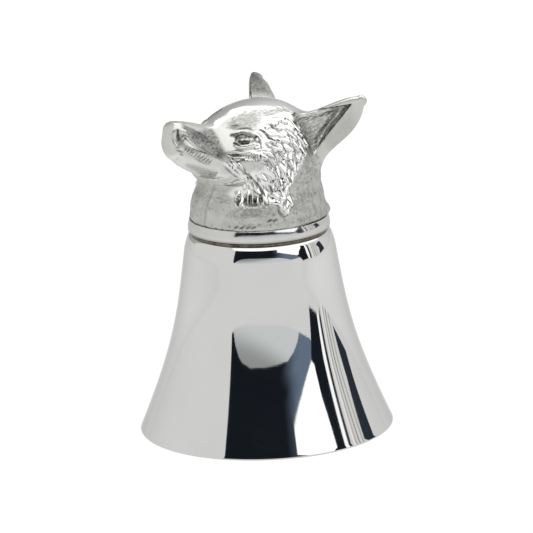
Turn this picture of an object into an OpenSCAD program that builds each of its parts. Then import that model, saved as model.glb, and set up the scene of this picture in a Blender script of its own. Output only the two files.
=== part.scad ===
// Stirrup cup with a fox's head: a spun bell bowl that stands on its mouth, a plain
// collar ring, and a hollow head cast in two halves. The fox looks along -Y.

/* [Bowl] */
// Diameter of the mouth, at the widest of the lip
mouth_d = 65.5; // [60:0.5:72]
// Height from the mouth to the top of the crown
bowl_h = 52; // [46:0.5:60]
// Thickness of the spun metal
wall = 1.2; // [0.8:0.1:1.3]
// Slope of the wall at the mouth, in degrees from upright
flare_angle = 23.4; // [18:0.2:28]
// Length over which the slope at the mouth holds before the wall turns up
flare_hold = 26.8; // [20:0.2:30]
// Slope of the wall at the shoulder, in degrees from upright
draft_angle = 8.9; // [5:0.1:12]
// Length over which the slope at the shoulder holds before the wall flares
draft_hold = 19.2; // [14:0.2:24]
// Width of the shoulder outside the collar
shoulder_step = 0.7; // [0.6:0.1:1.6]
// Radius that rounds the shoulder
shoulder_round = 1.4; // [1.3:0.1:2]
// Radius that rounds the outside of the lip
lip_round = 0.5; // [0.3:0.05:0.6]
// Height of the boss on the crown that centres the collar
boss_h = 2.4; // [1.6:0.1:2.6]

/* [Collar] */
// Height of the ring
collar_h = 3.2; // [2.8:0.1:4]
// Width of the collar outside the neck
collar_lip = 0.7; // [0.6:0.1:1.4]
// Swell of the bead beyond its edges
bead_swell = 0.5; // [0.2:0.05:0.5]
// Depth of the rebate that takes the foot of the neck
rebate_depth = 1; // [0.6:0.1:1.4]
// Width of the ledge inside the neck
ledge_w = 1; // [0.5:0.1:2]
// Radial gap of each soldered fit
solder_gap = 0.1; // [0.05:0.01:0.2]
// Height of the seam of solder between the crown and the collar
seam_h = 0.5; // [0.3:0.1:0.8]
// Depth of the seam inside the edge of the collar
seam_inset = 0.7; // [0.5:0.1:1.2]

/* [Neck] */
// Diameter of the neck at the collar
neck_d = 35; // [33:0.2:37]
// Diameter of the neck at the throat
throat_d = 32.6; // [31:0.2:34]
// Share of the taper from the foot to the throat that is done half-way up
waist_share = 0.6; // [0.4:0.05:0.8]
// Height of the throat above the foot of the neck
neck_h = 11.8; // [9:0.2:15]
// Thickness of the casting
casting = 2; // [1.4:0.1:2.4]
// Radius of the bend from the throat into the jaw
throat_round = 0.8; // [0.6:0.1:1.4]

/* [Head] */
// Height of the top of the skull above the throat
skull_rise = 19.2; // [18:0.2:21]
// Distance of the top of the skull in front of the neck's axis
skull_fore = 3; // [2:0.1:5]
// Half of the width of the head at the cheeks
cheek_w = 13.8; // [13:0.2:15]
// Half of the width of the head at the brow
brow_w = 10.6; // [9.6:0.2:11.8]
// Height of the dip between the brow and the muzzle above the throat
stop_rise = 15.9; // [15:0.1:17]
// Radius of the bend under the jaw
jaw_round = 1.7; // [1.4:0.1:2.4]

/* [Muzzle] */
// Half of the width of the muzzle at its root
bridge_w = 7.2; // [6.4:0.1:8]
// Half of the width of the muzzle behind the nose
muzzle_w = 4.7; // [4:0.1:5.4]
// Half of the width of the muzzle at the nose
nose_w = 3.6; // [3:0.1:4.2]
// Reach of the nose from the neck's axis
nose_reach = 29.2; // [27:0.2:32]
// Height of the top of the nose above the throat
nose_rise = 18; // [17:0.1:19]
// Depth of the muzzle at the nose
nose_depth = 10.4; // [9:0.2:11.6]
// Radius that rounds the front of the muzzle
nose_round = 1.5; // [1.1:0.1:1.9]
// Width of the pad of the nose
nose_pad_w = 5.8; // [5:0.1:6.6]
// Height of the pad of the nose
nose_pad_h = 4; // [3.4:0.1:4.6]

/* [Eyes] */
// Diameter of the eyeball
eye_d = 4.4; // [3.8:0.1:5.2]
// Distance of the eye in front of the neck's axis
eye_fore = 10.8; // [9.6:0.1:12]
// Height of the eye above the throat
eye_rise = 11.9; // [11:0.1:13]
// Depth of the eyeball's middle under the skin
eye_sink = 1.7; // [1.2:0.1:1.8]

/* [Ears] */
// Reach of the ear's tip to the side
ear_side = 20.9; // [19:0.1:23]
// Reach of the ear's tip behind the neck's axis
ear_back = 18.2; // [16:0.1:20]
// Height of the ear's tip above the throat
ear_rise = 19.3; // [17:0.1:22]
// Distance of the middle of the ear's root behind the neck's axis
ear_root_back = 6.8; // [5.5:0.1:8]
// Height of the middle of the ear's root above the throat
ear_root_rise = 9.3; // [8.5:0.1:10.5]
// Depth of the middle of the ear's root under the skin
ear_sink = 1.5; // [1:0.1:2.5]
// Height of the ear across its root
ear_root = 15; // [13:0.2:16]
// Depth of the ear from front to back at its root
ear_deep = 10; // [8:0.2:11]
// Distance of the ear's rim in front of its axis at the root
ear_front = 2.6; // [2:0.1:3.4]
// Radius of the ear's tip
ear_tip_r = 1.1; // [0.9:0.05:1.4]
// Upward turn of the ear's opening, in degrees
ear_turn = 0; // [-8:1:8]
// Thickness of the back of the ear
ear_wall = 1.3; // [1:0.1:1.6]

/* [Hidden] */
polished = [0.86, 0.87, 0.87];
cast_metal = [0.80, 0.80, 0.78];
solder_grey = [0.58, 0.54, 0.48];
$fn = 96;
curve_steps = 24;
round_steps = 6;
ring_points = 32;
path_rings = 36;
nose_rings = 7;
ear_steps = 5;
ball_fn = 20;
cut = 1;

// Radii and heights that follow from one another, from the neck outwards and from the mouth up
neck_r = neck_d / 2;
throat_r = throat_d / 2;
waist_r = mix(neck_r, throat_r, waist_share);
rebate_r = neck_r + solder_gap;
collar_r = rebate_r + collar_lip;
boss_r = neck_r - casting - ledge_w;
collar_bore_r = boss_r + solder_gap;
shoulder_r = collar_r + shoulder_step;
mouth_r = mouth_d / 2;
collar_z = bowl_h + seam_h;
neck_z = collar_z + collar_h - rebate_depth;
throat_z = neck_z + neck_h;
throat_fore = throat_r + throat_round;
nose_low = nose_rise - nose_depth;
nose_mid = nose_rise - nose_depth / 2;

// Shared curves
function mix(a, b, t) = a + (b - a) * t;
function unit(v) = v / norm(v);
function arc(centre, r, from, to, steps = round_steps) =
    [for (i = [0:steps]) let (a = mix(from, to, i / steps)) centre + r * [cos(a), sin(a)]];
function bezier(p, t) =
    pow(1 - t, 3) * p[0] + 3 * t * pow(1 - t, 2) * p[1] + 3 * t * t * (1 - t) * p[2] + pow(t, 3) * p[3];
function bezier_angle(p, t) =
    let (d = pow(1 - t, 2) * (p[1] - p[0]) + 2 * t * (1 - t) * (p[2] - p[1]) + t * t * (p[3] - p[2]))
    atan2(-d[0], d[1]);

// The bell's outside, as [radius, height], from the lip to the shoulder
lip_centre = [mouth_r - lip_round, lip_round];
bell_foot = lip_centre + lip_round * [cos(flare_angle), sin(flare_angle)];
shoulder_centre = [shoulder_r - shoulder_round * cos(draft_angle), bowl_h - shoulder_round];
bell_top = shoulder_centre + shoulder_round * [cos(draft_angle), sin(draft_angle)];
bell = [
    bell_foot,
    bell_foot + flare_hold * [-sin(flare_angle), cos(flare_angle)],
    bell_top + draft_hold * [sin(draft_angle), -cos(draft_angle)],
    bell_top,
];
function bell_point(t, inset = 0) =
    let (a = bezier_angle(bell, t)) bezier(bell, t) - inset * [cos(a), sin(a)];

module bowl_section() {
    inner_foot = bell_point(0, wall);
    boss_z = bowl_h + boss_h;
    polygon(concat(
        [[inner_foot[0] + inner_foot[1] * tan(flare_angle), 0]],
        arc(lip_centre, lip_round, -90, flare_angle),
        [for (i = [1:curve_steps]) bell_point(i / curve_steps)],
        arc(shoulder_centre, shoulder_round, draft_angle, 90),
        [[boss_r, bowl_h], [boss_r, boss_z], [0, boss_z]],
        [[0, boss_z - wall], [boss_r - wall, boss_z - wall], [boss_r - wall, bowl_h - wall]],
        arc(shoulder_centre, shoulder_round - wall, 90, draft_angle),
        [for (i = [curve_steps - 1:-1:0]) bell_point(i / curve_steps, wall)]));
}

// Bell bowl, spun from one disc, with its crown stepped up into the boss
module cup_bowl() {
    color(polished) rotate_extrude() bowl_section();
}

// Ring of solder that joins the collar to the crown
module collar_solder() {
    color(solder_grey) difference() {
        translate([0, 0, bowl_h]) cylinder(r = collar_r - seam_inset, h = seam_h);
        translate([0, 0, bowl_h - cut]) cylinder(r = collar_bore_r, h = seam_h + 2 * cut);
    }
}

// Half-round collar, bored to drop over the boss and rebated for the foot of the neck
module collar_ring() {
    bead_r = (collar_h * collar_h / 4 + bead_swell * bead_swell) / (2 * bead_swell);
    bead_angle = asin(collar_h / 2 / bead_r);
    bead_centre = [collar_r - bead_r, collar_h / 2];
    color(polished) translate([0, 0, collar_z]) difference() {
        rotate_extrude() polygon(concat(
            [[collar_bore_r, 0]],
            arc(bead_centre, bead_r, -bead_angle, bead_angle, 2 * round_steps),
            [[collar_bore_r, collar_h]]));
        translate([0, 0, collar_h - rebate_depth]) cylinder(r = rebate_r, h = rebate_depth + cut);
    }
}

// The skull's outline over the crown, as a distance from the bend of the throat at an angle from level
function skull_r(a) =
    let (long = throat_r + skull_fore, u = [cos(a) / long, sin(a) / skull_rise])
    let (g = (throat_fore - skull_fore) / long, b = g * u[0])
    (b + sqrt(b * b - (u * u) * (g * g - 1))) / (u * u);

// Stations of the head, as [place, low, high, half width, fullness low down]. A place from 0 to 1 climbs the
// neck, from 1 to 2 turns forward about the throat, and from 2 to 3 runs along the muzzle.
stations = [
    [0, throat_fore - neck_r, throat_fore + neck_r, neck_r, 0],
    [0.5, throat_fore - waist_r, throat_fore + waist_r, waist_r, 0],
    [1, throat_round, throat_fore + throat_r, throat_r, 0],
    [1.25, throat_round, skull_r(22.5), mix(throat_r, cheek_w, 0.5), 0.05],
    [1.5, throat_round, skull_r(45), cheek_w, 0.12],
    [1.75, jaw_round, skull_r(67.5), brow_w, 0.28],
    [1.88, jaw_round, mix(skull_r(67.5), stop_rise, 0.55), mix(brow_w, bridge_w, 0.45), 0.25],
    [2, jaw_round, stop_rise, bridge_w, 0.15],
    [2.3, mix(jaw_round, nose_low, 0.36), mix(stop_rise, nose_rise, 0.25), mix(bridge_w, muzzle_w, 0.5), 0.12],
    [2.65, mix(jaw_round, nose_low, 0.8), mix(stop_rise, nose_rise, 0.8), muzzle_w, 0.05],
    [2.86, nose_low + nose_round / 2, nose_rise, nose_w, 0],
    [2.95, nose_low + nose_round, nose_rise - nose_round / 2, mix(nose_w, nose_round, 0.4), 0],
    [3, nose_mid - nose_round, nose_mid + nose_round, nose_round, 0],
];
function slope(i) =
    let (a = max(i - 1, 0), b = min(i + 1, len(stations) - 1))
    (stations[b] - stations[a]) / (stations[b][0] - stations[a][0]);
function station(place) =
    let (p = max(place, 0), i = max([for (k = [0:len(stations) - 2]) if (stations[k][0] <= p) k]))
    let (step = stations[i + 1][0] - stations[i][0], u = (p - stations[i][0]) / step, v = 1 - u)
    stations[i] * v * v * (1 + 2 * u) + slope(i) * step * u * v * v
    + stations[i + 1] * u * u * (3 - 2 * u) - slope(i + 1) * step * u * u * v;

// A point of the head at a place and a turn, from 0 at the throat or jaw to 180 at the nape or crown
function head_point(place, turn, inset = 0) =
    let (s = station(place), a = 90 * min(max(place - 1, 0), 1))
    let (reach = (s[1] + s[2]) / 2 - ((s[2] - s[1]) / 2 - inset) * cos(turn))
    let (fore = throat_fore + (nose_reach - throat_fore) * max(place - 2, 0) - reach * cos(a))
    let (rise = throat_z + neck_h * min(place - 1, 0) + reach * sin(a))
    [(s[3] - inset) * sin(turn) * (1 + s[4] * cos(turn)), -fore, rise];

// The point of the left side of the skull that lies a given way in front of the neck's axis and above the throat
function side_point(fore, rise) =
    let (place = 1 + atan2(rise, throat_fore - fore) / 90, s = station(place))
    let (across = (s[1] + s[2] - 2 * norm([throat_fore - fore, rise])) / (s[2] - s[1]))
    head_point(place, acos(min(max(across, -1), 1)));

module head_loft(places, inset = 0) {
    last = len(places) - 1;
    turns = [0:ring_points - 1];
    function at(ring, k) = ring * ring_points + k % ring_points;
    points = [for (p = places, k = turns) head_point(p, 360 * k / ring_points, inset)];
    lower = [for (r = [0:last - 1], k = turns) [at(r, k), at(r + 1, k), at(r + 1, k + 1)]];
    upper = [for (r = [0:last - 1], k = turns) [at(r, k), at(r + 1, k + 1), at(r, k + 1)]];
    ends = [[for (k = turns) at(0, k)], [for (k = turns) at(last, ring_points - 1 - k)]];
    polyhedron(points, concat(lower, upper, ends), convexity = 6);
}

module head_form() {
    bend = 2.65;
    head_loft(concat(
        [for (i = [0:path_rings - 1]) bend * i / path_rings],
        [for (i = [0:nose_rings]) mix(bend, 3, sin(90 * i / nose_rings))]));
}

// The hollow of the casting, open at the foot of the neck and closed in the muzzle
module head_cavity() {
    end = 2.4;
    head_loft([for (i = [-1:path_rings]) end * i / path_rings], casting);
}

// The ear's frame: its axis from root to tip, the way it opens, and the way it stands
ear_tip = [ear_side, ear_back, throat_z + ear_rise];
ear_foot = side_point(-ear_root_back, ear_root_rise) - [ear_sink, 0, 0];
ear_axis = unit(ear_tip - ear_foot);
ear_level = unit(cross(ear_axis, [0, 0, 1]));
ear_opening = ear_level * cos(ear_turn) + cross(ear_level, ear_axis) * sin(ear_turn);
ear_stand = cross(ear_opening, ear_axis);

module ear_slice(s, inset, shift) {
    height = mix(ear_root / 2, ear_tip_r, pow(s, 1.3)) - inset;
    depth = mix(ear_deep / 2, ear_tip_r, pow(s, 0.7));
    front = mix(ear_front, ear_tip_r, s) - depth + shift;
    c = mix(ear_foot, ear_tip, s) + ear_opening * front;
    x = ear_stand * height;
    y = ear_opening * depth;
    z = ear_axis * min(height, depth);
    multmatrix([[x[0], y[0], z[0], c[0]], [x[1], y[1], z[1], c[1]], [x[2], y[2], z[2], c[2]]])
        sphere(r = 1, $fn = ball_fn);
}

module ear_slices(from, to, inset = 0, shift = 0) {
    for (i = [0:ear_steps - 1])
        hull() for (end = [i, i + 1])
            ear_slice(mix(from, to, end / ear_steps), inset, shift);
}

module ear_form() {
    ear_slices(0, 1);
}

module ear_hollow() {
    ear_slices(0.15, 0.8, ear_wall, ear_wall);
}

module eyeball() {
    translate(side_point(eye_fore, eye_rise) - [eye_sink, 0, 0]) sphere(d = eye_d, $fn = ball_fn);
}

// The pad of the nose, across the top of the muzzle's front
module nose_pad() {
    fore = nose_reach - nose_pad_h / 2;
    rise = throat_z + nose_rise - nose_pad_h / 2;
    hull() for (side = [-1, 1])
        translate([side * (nose_pad_w - nose_pad_h) / 2, -fore, rise]) sphere(d = nose_pad_h, $fn = ball_fn);
}

// Left half of the hollow head, cut on the middle plane
module head_half() {
    span = ear_side + ear_back + nose_reach;
    intersection() {
        difference() {
            union() {
                head_form();
                ear_form();
                eyeball();
                nose_pad();
            }
            difference() {
                head_cavity();
                ear_form();
            }
            ear_hollow();
        }
        translate([0, -span, 0]) cube([span, 2 * span, throat_z + span]);
    }
}

module head_left_half() {
    color(cast_metal) head_half();
}

module head_right_half() {
    color(cast_metal) mirror([1, 0, 0]) head_half();
}

cup_bowl();
collar_solder();
collar_ring();
head_left_half();
head_right_half();
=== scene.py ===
"""Looks of a stirrup cup with a fox's head: a polished spun bell, a collar and a chased casting.

The fox looks along -Y and its left side is +X. Shapes are worked out in millimetres and built in metres.
"""
import math

import bmesh
import bpy
import numpy as np
from mathutils import Matrix, Vector, geometry, kdtree, noise


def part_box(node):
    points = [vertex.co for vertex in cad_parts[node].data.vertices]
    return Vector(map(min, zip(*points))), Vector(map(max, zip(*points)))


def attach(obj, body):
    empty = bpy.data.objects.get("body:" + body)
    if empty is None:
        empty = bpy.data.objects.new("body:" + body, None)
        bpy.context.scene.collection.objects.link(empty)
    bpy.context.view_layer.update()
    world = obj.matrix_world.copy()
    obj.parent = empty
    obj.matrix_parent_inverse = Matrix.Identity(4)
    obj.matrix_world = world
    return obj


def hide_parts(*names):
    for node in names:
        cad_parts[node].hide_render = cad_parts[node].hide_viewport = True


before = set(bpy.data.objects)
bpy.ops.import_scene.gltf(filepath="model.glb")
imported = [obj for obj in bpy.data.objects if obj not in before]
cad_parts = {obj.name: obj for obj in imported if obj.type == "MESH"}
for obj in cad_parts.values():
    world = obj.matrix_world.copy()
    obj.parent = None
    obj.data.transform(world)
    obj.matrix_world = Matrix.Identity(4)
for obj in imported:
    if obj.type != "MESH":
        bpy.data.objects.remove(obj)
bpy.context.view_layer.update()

MM = 0.001
BODY = "root"
# Lengths in millimetres that count as nothing, and what keeps a division safe
TINY = 1e-6
LEAST = 1e-12

# Sizes of the construction, in millimetres, from the frame where it shows them
head_low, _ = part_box("head_left_half")
_, bowl_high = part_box("cup_bowl")
collar_low, collar_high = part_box("collar_ring")
MOUTH_R = bowl_high.x / MM
BOSS_TOP = bowl_high.z / MM
COLLAR_Z = collar_low.z / MM
COLLAR_TOP = collar_high.z / MM
COLLAR_R = collar_high.x / MM
NECK_Z = head_low.z / MM
NOSE_REACH = -head_low.y / MM

# Bell
WALL = 1.2
BOWL_H = 52.0
FLARE_ANGLE = math.radians(23.4)
FLARE_HOLD = 26.8
DRAFT_ANGLE = math.radians(8.9)
DRAFT_HOLD = 19.2
SHOULDER_STEP = 0.7
SHOULDER_ROUND = 1.4
SHOULDER_EASE_H = 3.5
SHOULDER_EASE_R = 14.0
LIP_ROUND = 0.3
SHOULDER_R = COLLAR_R + SHOULDER_STEP

# Collar and its solder
COLLAR_CURVE_R = 6.0
COLLAR_TOP_ANGLE = math.radians(24)
COLLAR_EDGE_R = 0.3
REBATE_DEPTH = 1.0
SOLDER_GAP = 0.1
SEAM_INSET = 0.5
SEAM_TOE = 3.0
SEAM_SAG = 0.35
CASTING = 2.0
LEDGE_W = 1.0
EDGE_BREAK = 0.12
# Height of the painted shade along the collar's lower edge
SEAM_SHADE_H = 0.7

# Head
NECK_R = 17.5
NECK_BEAD = 0.25
THROAT_R = 16.3
NECK_H = 11.8
THROAT_ROUND = 0.8
THROAT_TUCK = 2.2
NAPE_FLARE = 1.0
NAPE_TUCK = 0.3
SKULL_RISE = 18.95
SKULL_FORE = 2.5
POLL_RISE = 2.5
POLL_ANGLE = 31.0
POLL_SPREAD = 16.5
CHEEK_W = 13.8
BROW_W = 10.6
STOP_RISE = 16.0
BRIDGE_RISE = 0.6
JAW_ROUND = 2.0
BRIDGE_W = 7.2
MUZZLE_W = 4.7
NOSE_W = 3.6
NOSE_RISE = 18.0
NOSE_DEPTH = 10.7
NOSE_ROUND = 1.5
NOSE_LEAN = 0.13
EYE_FORE = 10.8
EYE_RISE = 11.9
EYE_SINK = 1.7
# The ear's tip as [side, fore, rise above the throat]
EAR_TIP = np.array([20.78, -18.0, 19.2])
EAR_ROOT_BACK = 6.8
EAR_ROOT_RISE = 9.3
EAR_SINK = 1.5
EAR_ROOT_HALF = 8.2
EAR_ROOT_LOW = 7.6
EAR_TIP_R = 1.5
THROAT_Z = NECK_Z + NECK_H
THROAT_FORE = THROAT_R + THROAT_ROUND
BOSS_R = NECK_R - CASTING - LEDGE_W
BORE_R = BOSS_R + SOLDER_GAP
REBATE_R = NECK_R + SOLDER_GAP

# Mesh fineness
LATHE_STEPS = 256
BELL_STEPS = 120
ARC_STEPS = 12
SHARP_EDGE = math.radians(32)
STATION_SAMPLES = 900
NET_STEP = 0.385
NET_MARGIN = 2.5
GRID_REAR = -20.5
CAVITY_STEP = 0.7
SETTLE_ROUNDS = 3
SETTLE_REACH = 0.4
SLOPE_STEP = 0.02
SLOPE_LEAST = 0.05


def mix(a, b, t):
    return a + (b - a) * t


def smoothstep(low, high, value):
    """Zero at the low limit and one at the high one, which may be the smaller number."""
    t = np.clip((value - low) / (high - low), 0, 1)
    return t * t * (3 - 2 * t)


def unit(v):
    return v / np.linalg.norm(v)


def unit_rows(rows):
    return rows / np.maximum(np.linalg.norm(rows, axis=1), LEAST)[:, None]


def link_distance(points, a, b):
    """Distances of points from a straight link, and their shares of its length."""
    ab = b - a
    t = np.clip((points - a) @ ab / max(ab @ ab, LEAST), 0, 1)
    return np.linalg.norm(points - a - t[:, None] * ab, axis=1), t


# Meshes

def link_mesh(name, points, faces, normals=None):
    """A mesh object from points in millimetres and arrays of faces, each array with one count of corners."""
    mesh = bpy.data.meshes.new(name)
    mesh.from_pydata([], [], [])
    mesh.vertices.add(len(points))
    mesh.vertices.foreach_set("co", (np.asarray(points) * MM).astype(np.float32).ravel())
    corners = np.concatenate([np.asarray(f).ravel() for f in faces])
    counts = np.concatenate([np.full(len(f), len(f[0])) for f in faces])
    mesh.loops.add(len(corners))
    mesh.loops.foreach_set("vertex_index", corners.astype(np.int32))
    mesh.polygons.add(len(counts))
    starts = np.concatenate([[0], np.cumsum(counts)[:-1]])
    mesh.polygons.foreach_set("loop_start", starts.astype(np.int32))
    mesh.polygons.foreach_set("use_smooth", np.ones(len(counts), bool))
    mesh.update(calc_edges=True)
    mesh.validate()
    if normals is not None:
        mesh.normals_split_custom_set(normals.tolist())
    piece = bpy.data.objects.new(name, mesh)
    bpy.context.scene.collection.objects.link(piece)
    return piece


def lathe(name, section):
    """A closed section of [radius, height] points, turned about the axis of the cup."""
    section = np.asarray(section, float)
    turn = np.arange(LATHE_STEPS) * 2 * math.pi / LATHE_STEPS
    points = []
    rings = []
    for radius, height in section:
        on_axis = radius < TINY
        ring_turn = turn[:1] if on_axis else turn
        onward = 0 if on_axis else np.arange(LATHE_STEPS)
        rings.append(np.full(LATHE_STEPS, len(points)) + onward)
        points += [(radius * math.cos(a), radius * math.sin(a), height) for a in ring_turn]
    quads = []
    tris = []
    for this, after in zip(rings, rings[1:] + rings[:1]):
        this_next = np.roll(this, -1)
        after_next = np.roll(after, -1)
        if this[0] == this[1] and after[0] == after[1]:
            continue
        if this[0] == this[1]:
            tris.append(np.stack([this, after_next, after], 1))
        elif after[0] == after[1]:
            tris.append(np.stack([this, this_next, after], 1))
        else:
            quads.append(np.stack([this, this_next, after_next, after], 1))
    faces = [np.concatenate(part) for part in (quads, tris) if part]
    piece = link_mesh(name, points, faces)
    piece.data.set_sharp_from_angle(angle=SHARP_EDGE)
    return piece


def arc(centre, radius, start, end, steps=ARC_STEPS):
    a = np.linspace(start, end, steps + 1)
    return np.array(centre) + radius * np.stack([np.cos(a), np.sin(a)], 1)


# The bell, spun from one disc

LIP_CENTRE = np.array([MOUTH_R - LIP_ROUND, LIP_ROUND])
SHOULDER_CENTRE = np.array([SHOULDER_R - SHOULDER_ROUND * math.cos(DRAFT_ANGLE), BOWL_H - SHOULDER_ROUND])


def at_angle(a):
    return np.array([math.cos(a), math.sin(a)])


def bell_curve(inset):
    """Points of the bell's side from the lip to the shoulder, moved inwards by the inset."""
    flare = at_angle(FLARE_ANGLE)
    draft = at_angle(DRAFT_ANGLE)
    foot = LIP_CENTRE + LIP_ROUND * flare
    top = SHOULDER_CENTRE + SHOULDER_ROUND * draft
    hold_foot = foot + FLARE_HOLD * np.array([-flare[1], flare[0]])
    hold_top = top + DRAFT_HOLD * np.array([draft[1], -draft[0]])
    t = np.linspace(0, 1, BELL_STEPS + 1)[:, None]
    s = 1 - t
    point = s**3 * foot + 3 * t * s**2 * hold_foot + 3 * t**2 * s * hold_top + t**3 * top
    climb = np.maximum(point[:, 1] - (top[1] - SHOULDER_EASE_H), 0)
    point[:, 0] -= climb**2 / (2 * SHOULDER_EASE_R)
    slope = np.gradient(point, axis=0)
    outward = np.stack([slope[:, 1], -slope[:, 0]], 1)
    return point - inset * unit_rows(outward)


def shoulder_arc(point, before):
    """The round that carries the bell's side over to the flat of the crown."""
    rise = point - before
    start = math.atan2(-rise[0], rise[1])
    radius = (BOWL_H - point[1]) / (1 - math.sin(start))
    centre = point - radius * at_angle(start)
    return centre, radius, start


def make_bowl():
    outer = bell_curve(0)
    inner = bell_curve(WALL)
    inner = inner[inner[:, 1] > 0]
    rim_inner_r = inner[0, 0] + inner[0, 1] * math.tan(FLARE_ANGLE)
    centre, radius, start = shoulder_arc(outer[-1], outer[-2])
    section = np.concatenate([
        [[rim_inner_r, 0]],
        arc(LIP_CENTRE, LIP_ROUND, -math.pi / 2, FLARE_ANGLE),
        outer[1:],
        arc(centre, radius, start, math.pi / 2, 2 * ARC_STEPS)[1:],
        [[BOSS_R, BOWL_H], [BOSS_R, BOSS_TOP], [0, BOSS_TOP]],
        [[0, BOSS_TOP - WALL], [BOSS_R - WALL, BOSS_TOP - WALL], [BOSS_R - WALL, BOWL_H - WALL]],
        arc(centre, radius - WALL, math.pi / 2, start),
        inner[-2::-1],
    ])
    return lathe("bell_bowl", section)


def make_solder():
    outer_r = COLLAR_R - SEAM_INSET
    low = BOWL_H - SEAM_SAG
    fillet = (COLLAR_Z - low) / 2
    section = np.concatenate([
        [[BORE_R, BOWL_H], [outer_r - SEAM_TOE * fillet, BOWL_H], [outer_r - fillet, low]],
        arc([outer_r - fillet, COLLAR_Z - fillet], fillet, -math.pi / 2, math.pi / 2)[1:],
        [[BORE_R, COLLAR_Z]],
    ])
    return lathe("solder_seam", section)


def make_collar():
    centre = np.array([COLLAR_R - COLLAR_CURVE_R, COLLAR_TOP - COLLAR_CURVE_R * math.sin(COLLAR_TOP_ANGLE)])
    low_angle = math.asin((COLLAR_Z + COLLAR_EDGE_R - centre[1]) / (COLLAR_CURVE_R - COLLAR_EDGE_R))
    edge = centre + (COLLAR_CURVE_R - COLLAR_EDGE_R) * at_angle(low_angle)
    section = np.concatenate([
        [[BORE_R, COLLAR_Z]],
        arc(edge, COLLAR_EDGE_R, -math.pi / 2, low_angle),
        arc(centre, COLLAR_CURVE_R, low_angle, COLLAR_TOP_ANGLE, 3 * ARC_STEPS)[1:],
        [[REBATE_R + EDGE_BREAK, COLLAR_TOP], [REBATE_R, COLLAR_TOP - EDGE_BREAK]],
        [[REBATE_R, COLLAR_TOP - REBATE_DEPTH], [BORE_R, COLLAR_TOP - REBATE_DEPTH]],
    ])
    return lathe("collar_bead", section)


# The head's form as a distance field

# A point is [side, fore, height] with the side always positive. Places run along the head: 0 at the foot,
# 1 at the throat, 2 at the stop and 3 at the end of the nose.
LAST_PLACE = 3
LEAST_HALF = 0.2
CORE = 0.2
CHAIN_MARGIN = 0.8


def skull_r(degrees):
    """The skull's outline over the crown, as a distance from the bend of the throat."""
    long = THROAT_R + SKULL_FORE
    way = at_angle(math.radians(degrees)) / (long, SKULL_RISE)
    shift = (THROAT_FORE - SKULL_FORE) / long
    half = shift * way[0]
    poll = POLL_RISE * math.exp(-(((degrees - POLL_ANGLE) / POLL_SPREAD) ** 2))
    return (half + math.sqrt(half * half - way @ way * (shift * shift - 1))) / (way @ way) + poll


def make_stations():
    """Rows of [place, low, high, half width, fullness low down], from the foot of the neck to the nose."""
    nose_low = NOSE_RISE - NOSE_DEPTH
    nose_mid = NOSE_RISE - NOSE_DEPTH / 2
    forehead_rise = skull_r(67.5)
    bridge_rise = mix(STOP_RISE, NOSE_RISE, 0.25) + BRIDGE_RISE

    def ring(place, radius, tuck=0.0, flare=0.0):
        return [place, THROAT_FORE - radius + tuck, THROAT_FORE + radius + flare, radius, 0]

    return np.array([
        ring(0, NECK_R),
        ring(0.085, NECK_R),
        ring(0.15, NECK_R + NECK_BEAD, 0, NAPE_FLARE),
        ring(0.27, NECK_R, 0, 0.3 * NAPE_FLARE),
        ring(0.4, mix(NECK_R, THROAT_R, 0.08), 0.07 * THROAT_TUCK, -1.3 * NAPE_TUCK),
        ring(0.62, mix(NECK_R, THROAT_R, 0.45), 0.3 * THROAT_TUCK, -NAPE_TUCK),
        ring(0.8, mix(NECK_R, THROAT_R, 0.9), 0.7 * THROAT_TUCK, -NAPE_TUCK),
        ring(1, THROAT_R, THROAT_TUCK, -NAPE_TUCK),
        [1.25, THROAT_ROUND, skull_r(22.5), mix(THROAT_R, CHEEK_W, 0.5), 0.05],
        [1.37, THROAT_ROUND, skull_r(33.3), mix(THROAT_R, CHEEK_W, 0.75), 0.09],
        [1.5, THROAT_ROUND, skull_r(45), CHEEK_W, 0.12],
        [1.75, JAW_ROUND, forehead_rise, BROW_W, 0.28],
        [1.88, JAW_ROUND, mix(forehead_rise, STOP_RISE, 0.92), mix(BROW_W, BRIDGE_W, 0.6), 0.25],
        [2, JAW_ROUND, STOP_RISE, BRIDGE_W, 0.15],
        [2.3, mix(JAW_ROUND, nose_low, 0.36), bridge_rise, mix(BRIDGE_W, MUZZLE_W, 0.5), 0.12],
        [2.62, mix(JAW_ROUND, nose_low, 0.8), NOSE_RISE, MUZZLE_W, 0.05],
        [2.8, nose_low + NOSE_ROUND / 2, NOSE_RISE - NOSE_ROUND / 4, mix(MUZZLE_W, NOSE_W, 0.7), 0],
        [2.94, nose_low + NOSE_ROUND, NOSE_RISE - 1.2 * NOSE_ROUND, mix(NOSE_W, NOSE_ROUND, 0.3), 0],
        [3, nose_mid - 1.6 * NOSE_ROUND, nose_mid + 1.3 * NOSE_ROUND, NOSE_ROUND, 0],
    ])


def station_table(stations):
    """The stations on a smooth curve through all of them, at many places."""
    place = np.linspace(0, LAST_PLACE, STATION_SAMPLES)
    last = len(stations) - 1
    before = np.maximum(np.arange(last + 1) - 1, 0)
    after = np.minimum(np.arange(last + 1) + 1, last)
    slope = (stations[after] - stations[before]) / (stations[after, :1] - stations[before, :1])
    i = np.clip(np.searchsorted(stations[:, 0], place, "right") - 1, 0, last - 1)
    step = stations[i + 1, :1] - stations[i, :1]
    u = (place[:, None] - stations[i, :1]) / step
    v = 1 - u
    rows = (stations[i] * v * v * (1 + 2 * u) + slope[i] * step * u * v * v
            + stations[i + 1] * u * u * (3 - 2 * u) - slope[i + 1] * step * u * u * v)
    return place, rows


PLACES, STATIONS = station_table(make_stations())


def station_at(place):
    return [np.interp(place, PLACES, STATIONS[:, k]) for k in range(1, 5)]


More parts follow.
